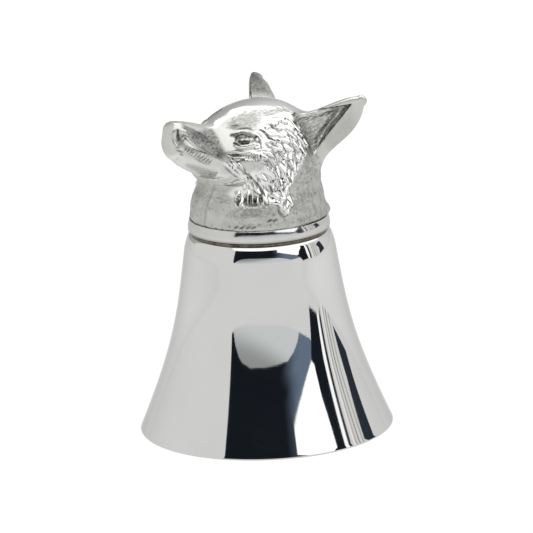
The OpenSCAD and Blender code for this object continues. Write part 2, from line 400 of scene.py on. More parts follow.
def loft(q, inset=0.0):
    """Distance to the lofted neck, skull and muzzle."""
    side, fore, height = np.abs(q[:, 0]), q[:, 1], q[:, 2]
    rise = height - THROAT_Z
    behind = THROAT_FORE - fore
    in_neck = rise < 0
    in_muzzle = ~in_neck & (behind <= 0)
    turn = np.arctan2(np.maximum(rise, 0), np.maximum(behind, TINY)) / (math.pi / 2)
    along = -behind / (NOSE_REACH - THROAT_FORE)
    place = np.where(in_neck, 1 + rise / NECK_H, np.where(in_muzzle, 2 + along, 1 + turn))
    reach = np.where(in_neck, behind, np.where(in_muzzle, rise, np.hypot(rise, behind)))
    low, high, width, drop = station_at(np.clip(place, 0, LAST_PLACE))
    half = np.maximum((high - low) / 2 - inset, LEAST_HALF)
    u = (reach - (low + high) / 2) / half
    across = np.maximum((width - inset) * (1 - drop * np.clip(u, -1, 1)), LEAST_HALF)
    v = side / across
    r = np.hypot(u, v)
    steep = np.sqrt((u / half) ** 2 + (v / across) ** 2)
    return np.where(r > CORE, (r - 1) * r / np.maximum(steep, TINY), (r - 1) * np.minimum(half, across))


def side_point(fore, rise):
    """The point of the skull's left side at a way in front of the neck's axis and above the throat."""
    behind = THROAT_FORE - fore
    low, high, width, drop = station_at(1 + math.atan2(rise, behind) / (math.pi / 2))
    across = (low + high - 2 * math.hypot(behind, rise)) / (high - low)
    side = width * math.sqrt(max(1 - across**2, 0)) * (1 + drop * across)
    return np.array([side, fore, THROAT_Z + rise])


def smooth_union(a, b, k):
    h = np.maximum(k - np.abs(a - b), 0) / k
    return np.minimum(a, b) - h * h * k / 4


def smooth_cut(a, b, k):
    return -smooth_union(-a, b, k)


def smooth_cross(a, b, k):
    return -smooth_union(-a, -b, k)


def curve(points, per=4):
    """A smooth line through the points."""
    p = np.asarray(points, float)
    p = np.concatenate([[2 * p[0] - p[1]], p, [2 * p[-1] - p[-2]]])
    line = []
    for a, b, c, d in zip(p, p[1:], p[2:], p[3:]):
        for t in np.arange(per) / per:
            line.append(b + (c - a) * t / 2 + (a - 2.5 * b + 2 * c - d / 2) * t**2
                        + (1.5 * b - a / 2 - 1.5 * c + d / 2) * t**3)
    return np.array(line + [p[-2]])


def chain(q, points, radii):
    """Distance to a string of round tapered links."""
    best = np.full(len(q), np.inf)
    for a, b, ra, rb in zip(points, points[1:], radii, radii[1:]):
        away, t = link_distance(q, a, b)
        best = np.minimum(best, away - mix(ra, rb, t))
    return best


def apply_chain(d, q, join, points, radii, k):
    """Joins a smooth string to the distances, near the string only."""
    line = curve(points)
    share = np.linspace(0, len(points) - 1, len(line))
    thick = np.interp(share, np.arange(len(points)), np.broadcast_to(radii, len(points)))
    reach = thick.max() + k + CHAIN_MARGIN
    near = np.flatnonzero(((q > line.min(0) - reach) & (q < line.max(0) + reach)).all(1))
    d[near] = join(d[near], chain(q[near], line, thick), k)


# The ear's frame: its axis from root to tip, the way it opens, and the way it stands

ear_tip = np.array([EAR_TIP[0], EAR_TIP[1], THROAT_Z + EAR_TIP[2]])
ear_foot = side_point(-EAR_ROOT_BACK, EAR_ROOT_RISE) - np.array([EAR_SINK, 0, 0])
ear_length = np.linalg.norm(ear_tip - ear_foot)
ear_axis = unit(ear_tip - ear_foot)
ear_opening = unit(np.array([-ear_axis[1], ear_axis[0], 0.0]))
ear_stand = np.cross(ear_axis, ear_opening)

EAR_MOUTH_ROOT = 0.1
EAR_MOUTH_TIP = 1.6
EAR_MOUTH_SPAN = (0.2, 1.0)
EAR_BACK_LOW = 9.9
EAR_BACK_HIGH = 17.9
EAR_BACK_TURN = (-3, 4)
EAR_BACK_TIP = 3.2
EAR_BACK_TAPER = 0.6
EAR_BACK_SWELL = 1.0
EAR_SWELL_SPANS = [(0.3, 0.6), (1.0, 0.8)]
EAR_TOP_EASE = (2.3, -3.0, 1.7)
EAR_LOW_EASE = (1.1, -2.0, 1.9)
EAR_SQUARENESS = 2.3
EAR_FOOT_REACH = 4.0
EAR_WALL = 1.3
EAR_EDGE = 1.0
EAR_BLEND = 3.0
EAR_ZONE_FORE = 4.0
EAR_ZONE_LOW = THROAT_Z - 3
# The ear's pit, with its corners as [share of the ear's length, height across the ear]
HOLLOW_CORNERS = [(0.08, 7.4), (0.87, 0.8), (0.03, -3.8)]
HOLLOW_LEAN = math.radians(16)
HOLLOW_RAMP = 5.0
HOLLOW_SILL = -0.15
HOLLOW_DEPTH = 3.2
HOLLOW_PILLOW = 1.7
PILLOW_EDGE = (0.3, 2.4)
HOLLOW_CORNER_R = 0.6
HOLLOW_FLOOR_R = 0.5
HOLLOW_EDGE = 0.35


def ear_mouth(share):
    """How far forward the ear's front edge stands, a little hollow near the root."""
    return mix(EAR_MOUTH_ROOT, EAR_MOUTH_TIP, smoothstep(*EAR_MOUTH_SPAN, share))


def ear_places(q):
    """A point's share of the ear's length, its height across the ear, and its way along the opening."""
    from_foot = q - ear_foot
    return from_foot @ ear_axis / ear_length, from_foot @ ear_stand, from_foot @ ear_opening


def eased(s, shares):
    """A share bent by the weights of its first, second and third powers, which add up to one."""
    linear, square, cube = shares
    return s * (linear + s * (square + s * cube))


def ear_back(q):
    """Distance to the ear's rounded back, as if it went on forwards."""
    share, stand, opening = ear_places(q)
    s = np.clip(share, 0, 1)
    above = mix(EAR_ROOT_HALF, EAR_TIP_R, eased(s, EAR_TOP_EASE))
    below = mix(EAR_ROOT_LOW, EAR_TIP_R, eased(s, EAR_LOW_EASE))
    high = np.where(stand > 0, above, below)
    root = mix(EAR_BACK_LOW, EAR_BACK_HIGH, smoothstep(*EAR_BACK_TURN, stand))
    swell_start, swell_end = (smoothstep(*span, s) for span in EAR_SWELL_SPANS)
    deep = mix(root, EAR_BACK_TIP, s**EAR_BACK_TAPER) + EAR_BACK_SWELL * swell_start * swell_end
    u = np.abs(stand) / high
    v = np.minimum(opening - EAR_MOUTH_TIP, 0) / deep
    x = np.maximum(share - 1, 0) * ear_length / EAR_TIP_R
    r = (u**EAR_SQUARENESS + np.abs(v) ** EAR_SQUARENESS + x**EAR_SQUARENESS) ** (1 / EAR_SQUARENESS)
    steep = np.sqrt((u / high) ** 2 + (v / deep) ** 2 + (x / EAR_TIP_R) ** 2)
    return np.maximum((r - 1) * r / np.maximum(steep, TINY), -share * ear_length - EAR_FOOT_REACH)


def hollow_rims(q):
    """Distances out from the three edges of the ear's pit, seen along the opening."""
    share, stand, _ = ear_places(q)
    along = share * ear_length
    corners = [np.array([s * ear_length, h]) for s, h in HOLLOW_CORNERS]
    rims = []
    for a, b in zip(corners, corners[1:] + corners[:1]):
        edge = unit(b - a)
        rims.append((stand - a[1]) * edge[0] - (along - a[0]) * edge[1])
    return rims


def ear_hollow(q, back):
    """Distance to the three-sided pit inside the ear, with a low pillow of hair on its floor."""
    share, _, opening = ear_places(q)
    rims = hollow_rims(q)
    mouth = ear_mouth(share)
    pillow = HOLLOW_PILLOW * smoothstep(*PILLOW_EDGE, -np.maximum(rims[0], rims[1]))
    taper = mix(HOLLOW_SILL, 1.0, smoothstep(0.0, HOLLOW_RAMP, -rims[2]))
    pit = mouth - (HOLLOW_DEPTH - pillow) * taper - opening
    for rim in rims:
        wall = rim * math.cos(HOLLOW_LEAN) + (mouth - opening) * math.sin(HOLLOW_LEAN)
        pit = smooth_cross(pit, wall, HOLLOW_CORNER_R)
    return smooth_cross(pit, back + EAR_WALL, HOLLOW_FLOOR_R)


EYE_SHIFT = 0.5
EYE_DROP = 0.35
EYE_BALL_R = 2.1
EYE_EDGE = 0.15
eye_centre = side_point(EYE_FORE + EYE_SHIFT, EYE_RISE - EYE_DROP) - np.array([EYE_SINK, 0, 0])
NOSE_EDGE = 2.2
CAVITY_SHARE = 0.4
NOSE_FLAT_SHARE = 0.3
MUZZLE_FACING = unit(np.array([0.82, 0.43, 0.36]))
MUZZLE_FLAT_R = 14.0
MUZZLE_FLAT_DEPTH = 0.55
MUZZLE_FLAT_TAPER = (-0.45, -0.05, -0.4, -1.0)
MUZZLE_FLAT_EDGE = 0.5

# Chased lines of the left side, as [side, fore, height] points
BROW = [(6.6, 13.6, 80.0), (7.2, 12.0, 80.4), (8.2, 9.9, 80.6), (9.8, 8.3, 80.2), (11.6, 7.8, 78.8)]
SOCKET = [(7.4, 13.7, 79.9), (8.9, 12.4, 79.9), (10.2, 10.8, 80.1), (11.4, 9.1, 79.3)]
UPPER_LID = [(8.3, 13.8, 78.3), (9.8, 12.9, 78.8), (10.8, 11.4, 79.1), (11.4, 9.7, 78.7)]
LOWER_LID = [(8.7, 14.1, 77.9), (10.1, 13.2, 77.2), (11.5, 11.1, 77.2), (12.1, 9.4, 77.6)]
EYE_FOLD = [(9.0, 14.9, 76.5), (10.4, 13.4, 75.9), (11.8, 11.6, 76.1)]
TEAR = [(8.1, 15.6, 75.8), (9.0, 14.9, 75.4), (10.0, 13.9, 75.4), (11.2, 12.8, 75.3)]
PUPIL = [(10.0, 12.9, 78.35), (10.7, 11.1, 78.4)]
LIP = [(3.9, 25.8, 81.2), (5.0, 24.1, 79.2), (5.9, 20.9, 77.0), (7.1, 17.4, 74.1)]
MUZZLE_SIDE = [(3.6, 24.2, 81.6), (4.7, 20.8, 79.8), (5.9, 18.0, 78.2), (6.8, 16.8, 77.0)]
MOUTH = [(5.1, 22.2, 74.0), (5.6, 20.4, 73.0), (6.3, 18.3, 72.3)]
NOSTRIL = [(2.9, 27.2, 83.0), (3.3, 27.4, 81.9), (3.6, 27.1, 80.8), (3.8, 26.5, 80.1), (4.1, 25.7, 80.1)]
NOSE_PAD = [(-1.2, 26.2, 82.5), (1.2, 26.2, 82.5)]
NOSE_WING = [(2.6, 26.2, 82.8), (3.1, 25.2, 82.3), (3.6, 24.6, 81.4)]

# Raised and sunk features in the order they are made, as [join, line, radii along it, softness]
FACE_FEATURES = [
    (smooth_union, NOSE_PAD, 1.9, 1.2),
    (smooth_union, NOSE_WING, (0.45, 0.7, 0.45), 0.4),
    (smooth_union, LIP, (0.3, 0.35, 0.3, 0.2), 0.3),
    (smooth_cut, MOUTH, (0.05, 0.22, 0.05), 0.25),
    (smooth_cut, NOSTRIL, (0.3, 0.45, 0.62, 0.6, 0.3), 0.2),
    (smooth_union, BROW, (0.0, 0.1, 0.3, 0.4, 0.3), 0.6),
    (smooth_cut, SOCKET, (0.7, 1.1, 1.1, 0.7), 0.4),
]
LID_FEATURES = [
    (smooth_union, UPPER_LID, (0.2, 0.3, 0.3, 0.2), 0.2),
    (smooth_union, LOWER_LID, (0.25, 0.4, 0.4, 0.25), 0.25),
    (smooth_union, EYE_FOLD, (0.2, 0.4, 0.2), 0.6),
    (smooth_cut, TEAR, (0.15, 0.3, 0.3, 0.15), 0.4),
    (smooth_cut, PUPIL, 0.45, 0.15),
]


def muzzle_end(q):
    """Distance in front of the flat of the nose, which leans forward at the top."""
    rise = q[:, 2] - (THROAT_Z + NOSE_RISE - NOSE_FLAT_SHARE * NOSE_DEPTH)
    return q[:, 1] - NOSE_REACH - NOSE_LEAN * rise


def head_distance(q):
    """Distance to the chased head, without its fur."""
    q = np.stack([np.abs(q[:, 0]), q[:, 1], q[:, 2]], 1)
    d = smooth_cross(loft(q), muzzle_end(q), NOSE_EDGE)
    near = np.flatnonzero((q[:, 1] < EAR_ZONE_FORE) & (q[:, 2] > EAR_ZONE_LOW))
    share, _, opening = ear_places(q[near])
    back = ear_back(q[near])
    leaf = smooth_cross(back, opening - ear_mouth(share), EAR_EDGE)
    d[near] = smooth_union(d[near], leaf, EAR_BLEND)
    d[near] = smooth_cut(d[near], ear_hollow(q[near], back), HOLLOW_EDGE)
    side_cut = np.array(MUZZLE_SIDE) + (MUZZLE_FLAT_R - MUZZLE_FLAT_DEPTH) * MUZZLE_FACING
    side_r = MUZZLE_FLAT_R + np.array(MUZZLE_FLAT_TAPER)
    apply_chain(d, q, smooth_cut, side_cut, side_r, MUZZLE_FLAT_EDGE)
    for feature in FACE_FEATURES:
        apply_chain(d, q, *feature)
    d = smooth_union(d, np.linalg.norm(q - eye_centre, axis=1) - EYE_BALL_R, EYE_EDGE)
    for feature in LID_FEATURES:
        apply_chain(d, q, *feature)
    return d


def cavity_distance(q):
    """Distance to the hollow of the casting, which ends inside the muzzle."""
    end = mix(THROAT_FORE, NOSE_REACH, CAVITY_SHARE)
    return np.maximum(loft(q, CASTING), q[:, 1] - end)


# Meshing of a distance field over the left half

def grid_field(distance, step):
    """The field on a grid whose first layers straddle the middle plane and the foot of the neck."""
    low = np.array([-0.5 * step, GRID_REAR, NECK_Z - 0.5 * step])
    high = np.array([ear_tip[0], NOSE_REACH, ear_tip[2]]) + NET_MARGIN
    count = np.ceil((high - low) / step).astype(int) + 1
    axes = [low[k] + step * np.arange(count[k]) for k in range(3)]
    q = np.stack(np.meshgrid(*axes, indexing="ij"), -1).reshape(-1, 3)
    return distance(q).reshape(count), low


def net_points(field, low, step):
    """One point in each cell that a field's zero surface crosses, and the points' numbers by cell."""
    inside = field < 0
    cells = np.array(field.shape) - 1
    corners = np.array([(i, j, k) for i in (0, 1) for j in (0, 1) for k in (0, 1)])

    def at(values, c):
        return values[c[0]:c[0] + cells[0], c[1]:c[1] + cells[1], c[2]:c[2] + cells[2]]

    filled = sum(at(inside, c).astype(int) for c in corners)
    active = (filled > 0) & (filled < 8)
    index = np.full(active.shape, -1)
    index[active] = np.arange(active.sum())
    place = np.zeros((active.sum(), 3))
    crossings = np.zeros(active.sum())
    for a in corners:
        for axis in range(3):
            if a[axis]:
                continue
            b = a + np.eye(3, dtype=int)[axis]
            fa = at(field, a)[active]
            fb = at(field, b)[active]
            crosses = (fa < 0) != (fb < 0)
            t = np.where(crosses, fa / np.where(crosses, fa - fb, 1), 0)
            place += crosses[:, None] * (a + t[:, None] * (b - a))
            crossings += crosses
    cell = np.argwhere(active)
    points = low + step * (cell + place / crossings[:, None])
    points[cell[:, 0] == 0, 0] = 0
    points[cell[:, 2] == 0, 2] = NECK_Z
    return points, index


def net_quads(field, index):
    """A quad round each step of the grid that the surface crosses, between the four cells' points."""
    inside = field < 0
    cells = index.shape
    quads = []
    for axis in range(3):
        one, two = (axis + 1) % 3, (axis + 2) % 3
        ahead = np.take(inside, range(1, field.shape[axis]), axis)
        here = np.take(inside, range(field.shape[axis] - 1), axis)
        edge = np.argwhere(here != ahead)
        keep = (edge[:, one] > 0) & (edge[:, two] > 0)
        keep &= (edge[:, one] < cells[one]) & (edge[:, two] < cells[two])
        edge = edge[keep]
        outward = here[tuple(edge.T)]
        ring = []
        for back_one, back_two in ((1, 1), (0, 1), (0, 0), (1, 0)):
            c = edge.copy()
            c[:, one] -= back_one
            c[:, two] -= back_two
            ring.append(index[tuple(c.T)])
        ring = np.stack(ring, 1)
        quads.append(np.where(outward[:, None], ring, ring[:, ::-1]))
    return np.concatenate(quads)


def surface_net(distance, step):
    """Points and quads of the surface where a distance is zero."""
    field, low = grid_field(distance, step)
    points, index = net_points(field, low, step)
    return points, net_quads(field, index)


def edge_ends(quads):
    """The two ends of every side of the quads."""
    return np.stack([quads, np.roll(quads, -1, 1)], -1).reshape(-1, 2)


def subdivide(points, quads):
    """Each quad cut into four."""
    ends = np.sort(edge_ends(quads), 1)
    edges, which = np.unique(ends, axis=0, return_inverse=True)
    middles = points[edges].mean(1)
    centres = points[quads].mean(1)
    mid = which.reshape(-1, 4) + len(points)
    centre = np.arange(len(quads)) + len(points) + len(edges)
    parts = [np.stack([quads[:, k], mid[:, k], centre, mid[:, k - 1]], 1) for k in range(4)]
    return np.concatenate([points, middles, centres]), np.concatenate(parts)


def both_ways(quads):
    """The ends of every side of the quads, both ways round."""
    ends = edge_ends(quads)
    return np.concatenate([ends, ends[:, ::-1]])


def sums_at(which, values, count):
    """The sum of the rows of values that belong to each of a count of points."""
    return np.stack([np.bincount(which, column, count) for column in values.T], 1)


def settle(points, quads, distance):
    """Points evened out along the surface and moved onto it, with those on the two flat cuts kept there."""
    middle = points[:, 0] < TINY
    foot = points[:, 2] < NECK_Z + TINY
    free = ~(middle | foot)
    ends = both_ways(quads)
    shares = np.bincount(ends[:, 0], minlength=len(points))
    for turn in range(SETTLE_ROUNDS):
        if turn < SETTLE_ROUNDS - 1:
            mean = sums_at(ends[:, 0], points[ends[:, 1]], len(points)) / shares[:, None]
            points[free] = mix(points[free], mean[free], 0.5)
        d = distance(points)
        steps = SLOPE_STEP * np.eye(3)
        slope = np.stack([distance(points + e) - distance(points - e) for e in steps], 1) / (2 * SLOPE_STEP)
        steep = np.maximum((slope**2).sum(1), SLOPE_LEAST)
        points = points - np.clip(d / steep, -SETTLE_REACH, SETTLE_REACH)[:, None] * slope
        points[middle, 0] = 0
        points[foot, 2] = NECK_Z
    return points


def vertex_normals(points, quads):
    """Normals of an open half, as if its mirror image were joined on."""
    across = points[quads[:, 2]] - points[quads[:, 0]]
    over = points[quads[:, 3]] - points[quads[:, 1]]
    face = np.cross(across, over)
    total = sums_at(quads.ravel(), np.repeat(face, 4, 0), len(points))
    total[points[:, 0] < TINY, 0] = 0
    return unit_rows(total)


def boundary_loop(quads):
    """The points along the open edge of a half, in order."""
    known = set(map(tuple, edge_ends(quads).tolist()))
    after = {a: b for a, b in known if (b, a) not in known}
    start = next(iter(sorted(after)))
    loop = [start]
    while after[loop[-1]] != start:
        loop.append(after[loop[-1]])
    return loop


# Fur, hair and tool marks, as heights over the settled half

# The fur's outline in the side view, as [fore, height] points
RUFF = np.array([
    (17.2, 73.6), (13.9, 69.4), (12.4, 67.0), (14.0, 64.6), (13.4, 62.0), (9.2, 62.2), (6.4, 61.6),
    (4.6, 58.9), (2.2, 61.4), (2.4, 66.0), (-2.4, 71.0), (-5.0, 73.4), (-7.0, 76.0), (-7.5, 80.5),
    (-4.5, 83.4), (3.5, 83.4), (7.6, 80.6), (8.2, 77.8), (10.2, 76.2), (12.0, 75.0), (14.6, 74.0),
])
# How far forward the low part of the ruff comes on each side, and where that part starts
LEFT_RUFF_FORE = 20.0
RIGHT_RUFF_FORE = 8.5
RUFF_LOW_Z = 74.5
# The dark wedge on the side of the muzzle, in the side view
WEDGE = np.array([
    (25.0, 83.3), (22.4, 82.2), (16.4, 81.8), (16.2, 77.5),
    (16.7, 74.2), (19.6, 75.5), (22.4, 77.8), (24.3, 80.2),
])
WEDGE_EDGE = (-0.7, 0.7)
WEDGE_SIDE = (2.0, 3.4)
WEDGE_DARKNESS = 0.76
WEDGE_DARKNESS_LIMITS = (0.4, 0.95)
STIPPLE_SCALES = (2.1, 4.3)
STIPPLE_HEIGHT = 0.025
STIPPLE_DARKNESS = 0.22
# The bare patch of the cheek in the side view, as its centre, its radii and its soft edge
CHEEK_CENTRE = np.array([11.4, 72.6])
CHEEK_RADII = np.array([3.2, 1.7])
CHEEK_EDGE = (0.6, 1.3)
CHEEK_ROOM = 0.3
# Places in the side view and the way the fur lies there
GUIDES = np.array([
    (9.0, 82.5, -1.0, 0.0), (5.0, 80.5, -0.9, -0.45), (1.0, 79.0, -0.75, -0.65), (-3.0, 77.0, 0.0, -1.0),
    (14.5, 74.5, -0.8, -0.6), (8.0, 74.5, -0.8, -0.6), (4.0, 75.0, -0.6, -0.8), (-1.5, 73.0, 0.45, -0.9),
    (12.5, 69.0, -0.7, -0.72), (8.0, 68.5, -0.5, -0.86), (3.5, 69.0, 0.25, -0.97),
    (10.0, 64.0, -0.3, -0.95), (4.5, 62.0, 0.1, -1.0), (17.0, 73.0, -0.75, -0.66),
])
GUIDE_REACH = 3.0
# Cut lines as [points, half width, depth, darkness]
CUTS = [
    ([(4.7, 12.4, 82.2), (5.6, 11.0, 82.3), (6.9, 10.0, 81.9)], 0.4, 0.28, 0.9),
    ([(4.9, 12.8, 81.9), (5.9, 11.6, 81.9), (6.9, 10.5, 81.6)], 0.34, 0.25, 0.8),
    ([(6.0, 12.2, 81.4), (7.4, 10.3, 81.5), (8.7, 8.8, 81.4), (10.1, 8.2, 80.9)], 0.4, 0.32, 1.0),
    ([(9.4, 7.5, 81.2), (11.1, 6.3, 80.3), (12.4, 5.8, 79.1), (13.3, 5.1, 78.1), (13.7, 4.0, 77.4)],
     0.4, 0.36, 1.0),
    ([(9.9, 4.0, 81.9), (11.2, 3.6, 80.8), (12.1, 2.6, 80.0)], 0.4, 0.34, 0.95),
    ([(10.2, 5.5, 81.0), (10.8, 5.2, 80.4)], 0.34, 0.25, 0.8),
    ([(7.3, 10.2, 82.0), (7.9, 9.3, 81.8)], 0.3, 0.2, 0.6),
    ([(11.4, 8.3, 79.3), (12.1, 8.4, 78.2), (12.9, 8.6, 77.0)], 0.34, 0.3, 0.95),
    ([(14.2, 7.7, 74.6), (14.3, 7.0, 72.7), (14.5, 6.4, 71.1)], 0.34, 0.3, 0.8),
    ([(10.2, 14.6, 74.7), (10.8, 14.0, 74.6)], 0.28, 0.2, 0.8),
    ([(4.6, 23.9, 75.6), (5.2, 21.8, 74.2), (6.0, 19.4, 72.8)], 0.28, 0.12, 0.6),
    ([(3.2, 27.2, 77.0), (3.6, 26.2, 76.5)], 0.26, 0.2, 0.8),
    ([(9.3, 14.3, 76.9), (10.7, 12.7, 76.5)], 0.26, 0.2, 0.7),
    ([(9.0, 15.5, 75.3), (9.5, 15.4, 74.7), (9.9, 15.0, 74.1)], 0.38, 0.25, 0.9),
    ([(7.2, 17.0, 73.0), (10.6, 12.9, 68.8)], 0.3, 0.3, 0.3),
    ([(9.8, 15.3, 73.8), (11.9, 11.7, 69.7), (13.3, 9.4, 65.8), (13.9, 8.8, 64.1)], 0.36, 0.34, 0.9),
    ([(12.7, 10.4, 69.5), (13.3, 9.3, 67.8)], 0.3, 0.25, 0.6),
    ([(14.2, 7.7, 67.4), (14.7, 7.2, 65.8), (14.7, 7.3, 64.2)], 0.32, 0.28, 0.8),
    ([(15.4, 6.3, 61.8), (15.7, 6.0, 60.1), (16.2, 4.8, 58.2)], 0.34, 0.25, 0.6),
    ([(10.3, 12.9, 62.7), (12.0, 11.4, 62.5), (13.3, 9.9, 62.5)], 0.6, 0.35, 1.0),
    ([(12.6, 7.4, 77.6), (13.3, 6.6, 76.6), (13.9, 5.6, 75.8)], 0.32, 0.28, 0.7),
    ([(13.0, 6.2, 77.9), (13.6, 5.4, 77.0), (14.1, 4.4, 76.2)], 0.32, 0.28, 0.7),
    ([(12.9, 8.2, 76.2), (13.6, 7.4, 75.4)], 0.3, 0.25, 0.7),
    ([(12.0, 10.6, 76.4), (12.9, 9.2, 76.6)], 0.28, 0.15, 0.4),
    ([(10.1, 7.9, 80.6), (11.2, 7.5, 79.8), (12.2, 7.2, 78.9)], 0.3, 0.2, 0.6),
    ([(12.7, 8.6, 77.4), (13.3, 8.8, 76.3)], 0.3, 0.25, 0.8),
    ([(12.4, 10.4, 75.9), (13.1, 9.0, 76.0)], 0.28, 0.15, 0.4),
    ([(13.7, 9.4, 74.6), (14.2, 8.0, 73.0), (14.3, 7.2, 71.4)], 0.3, 0.25, 0.7),
    ([(3.1, 28.2, 78.9), (3.9, 26.8, 78.7)], 0.26, 0.22, 0.8),
    ([(3.0, 28.2, 78.1), (3.9, 26.4, 77.4)], 0.26, 0.22, 0.8),
]
# Dark places as [points, radius, darkness], with even ends and with ends that taper
STAINS_AND_SHADE = [
    ([(8.2, 13.3, 79.5), (9.4, 12.6, 79.6), (10.4, 11.4, 79.8)], 0.5, 0.9),
    ([(9.2, 12.5, 79.8), (9.7, 11.9, 79.9), (10.2, 11.2, 79.8)], 0.5, 0.9),
    (PUPIL, 0.62, 1.0),
    ([(8.4, 13.9, 78.4), (9.6, 13.1, 77.7)], 0.34, 0.9),
    ([(11.0, 9.3, 79.0), (12.0, 9.0, 78.2)], 0.4, 0.85),
    # Painted shade along the edge of the bridge, above the muzzle's side
    ([(2.0, 23.7, 83.6), (2.7, 22.2, 82.7), (3.4, 20.7, 81.8)], 1.3, 0.3),
]
TAPERED_STAINS = [
    ([(7.0, 13.4, 80.2), (8.0, 12.2, 80.1), (9.2, 10.4, 80.1), (10.9, 8.6, 79.4)], 1.1, 0.92),
    (TEAR, 0.4, 0.95),
    (NOSTRIL, 0.6, 1.0),
]
# Rows of whisker marks on the muzzle and of lashes under the eye, each across a strip between two lines
HATCH_TOP = [(3.3, 25.4, 79.0), (4.9, 22.2, 77.0), (6.4, 19.4, 74.7)]
HATCH_LOW = [(3.7, 25.8, 77.6), (4.7, 23.5, 75.3), (6.0, 19.4, 72.9)]
HATCHES = 10
HATCH_SLANT = 4
HATCH_CUT = (0.28, 0.2, 0.7)
LASH_TOP = [(11.5, 12.5, 75.9), (12.6, 10.9, 75.5), (13.8, 8.8, 75.3)]
LASH_LOW = [(11.8, 12.9, 74.4), (13.0, 11.1, 73.9), (14.0, 8.7, 74.0)]
LASHES = 7
LASH_CUT = (0.3, 0.25)
LASH_DARKNESS = (0.4, 0.9)
RUNG_STEPS = 20
# Dark gaps in the fringe, at their ways forward
RUFF_GAPS = (13.8, 12.7, 11.9, 11.0, 9.8)
RUFF_GAP_TOP = 65.2
RUFF_GAP_LOW = 62.0
RUFF_GAP_SLANT = 0.2
RUFF_GAP_CUT = (0.62, 0.5, 1.0)
# Locks of the ruff as [points, half width, height]
RUFF_LOCKS = [
    ([(7.6, 17.0, 73.8), (9.6, 14.6, 71.2), (11.0, 12.4, 68.8)], 0.7, 0.7),
    ([(8.8, 16.0, 73.9), (10.6, 13.6, 71.6), (12.3, 10.9, 68.6)], 0.55, 0.65),
    ([(10.6, 12.9, 69.6), (11.4, 11.9, 67.2), (11.9, 11.4, 64.6)], 0.7, 0.65),
    ([(11.4, 11.8, 69.6), (12.6, 10.2, 67.4), (13.1, 9.2, 64.7)], 0.6, 0.7),
    ([(15.2, 6.0, 64.2), (15.9, 5.4, 61.0), (16.3, 4.7, 58.7)], 1.0, 0.7),
    ([(16.2, 3.4, 63.8), (16.6, 2.5, 60.6)], 0.8, 0.6),
]
RUFF_SWELL = 0.8
SWELL_HEIGHTS = (74, 64)
SWELL_FORES = (13, 8)
SWELL_EDGE = (0, 0.7)
FRINGE_R = 16.4
# The locks of the cheek, with ranges of their length, half width and share of the tilt
FUR_TRIES = 1600
FUR_SPACING = 1.6
FUR_TILT = 0.26
FUR_SIDE = (3.0, 5.5)
FUR_EDGE = (0.1, 0.9)
FUR_OVERRUN = 0.2
LOCK_LENGTH = (2.4, 4.8)
LOCK_WIDTH = (0.6, 1.05)
LOCK_TILT = (0.75, 1.15)
LOCK_LEAST = 4
# Counts of strokes, and their ranges of [length, half width, depth, darkness]
FUR_STROKES = 70
FUR_STROKE = [(1.2, 3.0), (0.2, 0.3), (0.1, 0.2), (0.2, 0.7)]
PATCH_STROKES = 45
PATCH_STROKE = [(0.6, 1.4), (0.22, 0.34), (0.03, 0.07), (0.05, 0.25)]
FACE_STROKES = 320
FACE_STROKE = [(1.0, 2.2), (0.2, 0.3), (0.08, 0.17), (0.2, 0.6)]
EAR_STROKES = 240
EAR_STROKE = [(1.5, 3.5), (0.22, 0.34), (0.16, 0.3), (0.05, 0.5)]
# Where the strokes of the face lie
FACE_SIDE = (2.5, 4.5)
FACE_LOW = (76, 78)
FACE_HIGH = (84.8, 84.2)
FACE_FORE = (13.5, 11.5)
FACE_REAR = -5.0
FACE_ROOM = 0.1
EYE_ROOM = 3.8
# How dark the ear's pit is, on its floor and along its edges, and at its root
PIT_DARKNESS = (0.08, 0.95)
PIT_DARK_EDGE = (-0.45, -0.1)
PIT_ROOT_DARKNESS = 0.7
PIT_ROOT = (0.3, 0.1)
# What counts as the ear's pit
PIT_SLACK = 0.1
PIT_MARGIN = 1.0
PIT_FACING = 0.1
PIT_INNER_SIDE = 6.0
# The skin of the neck
NICKS = 300
NICK_RUN = 0.25
NICK_CUT = [(0.2, 0.55), (0.04, 0.12), (0, 0.6)]
NECK_EDGE = (0.3, -0.6)
NECK_TOP = (THROAT_Z + 7, THROAT_Z + 2)
NECK_FULL = 0.6
PEBBLE_SCALES = (1.1, 2.4)
PEBBLE_FINE_SHARE = 0.7
PEBBLE_HEIGHT = 0.075
STREAK_SCALES = np.array([1.6, 1.6, 0.2])
STREAK_FORES = (8, -4)
STREAK_HEIGHT = 0.06
STREAK_DARKNESS = 0.32
STREAK_FULL = 0.5
# Darker just above the collar, towards the back
COLLAR_DARK_HEIGHTS = (COLLAR_TOP + 1.0, COLLAR_TOP + 0.2)
COLLAR_DARK_FORES = (4, -2)
COLLAR_DARKNESS = 0.6
# Rows of dark scratches round the foot of the neck as [first fore, last fore, height, count]
FOOT_MARKS = [(15.2, 12.6, 56.5, 4), (9.4, 8.2, 58.1, 2)]
FOOT_MARK_RUN = np.array([0.6, -1.5, 0.6])
FOOT_MARK_CUT = (0.34, 0.14)
FOOT_MARK_DARKNESS = (0.7, 1.0)
# The parting line of the mould
PARTING_W = 0.45
PARTING_DEPTH = 0.05
PARTING_DARKNESS = 0.35
PARTING_HEIGHTS = (THROAT_Z + 3, THROAT_Z)
MIDDLE_FADE = (0.0, 0.5)
# How much painted shade darkens the inner side of each ear's back, the far ear more than the near one, and
# where that side is
LEFT_EAR_SHADE = 0.1
RIGHT_EAR_SHADE = 0.8
EAR_SHADE_SPAN = (0.2, 0.6)
EAR_SHADE_INNER = (0.35, -0.05)
EAR_SHADE_REAR = (-0.55, 0.1)
# The strip of the ear's front below the pit, where it faces out of the opening, darkened with painted shade
STRIP_SHADE = 0.22
STRIP_FACING = (0.1, 0.5)
STRIP_TOP = (0.5, -1.0)
STRIP_SPANS = [(0.15, 0.3), (0.9, 0.65)]
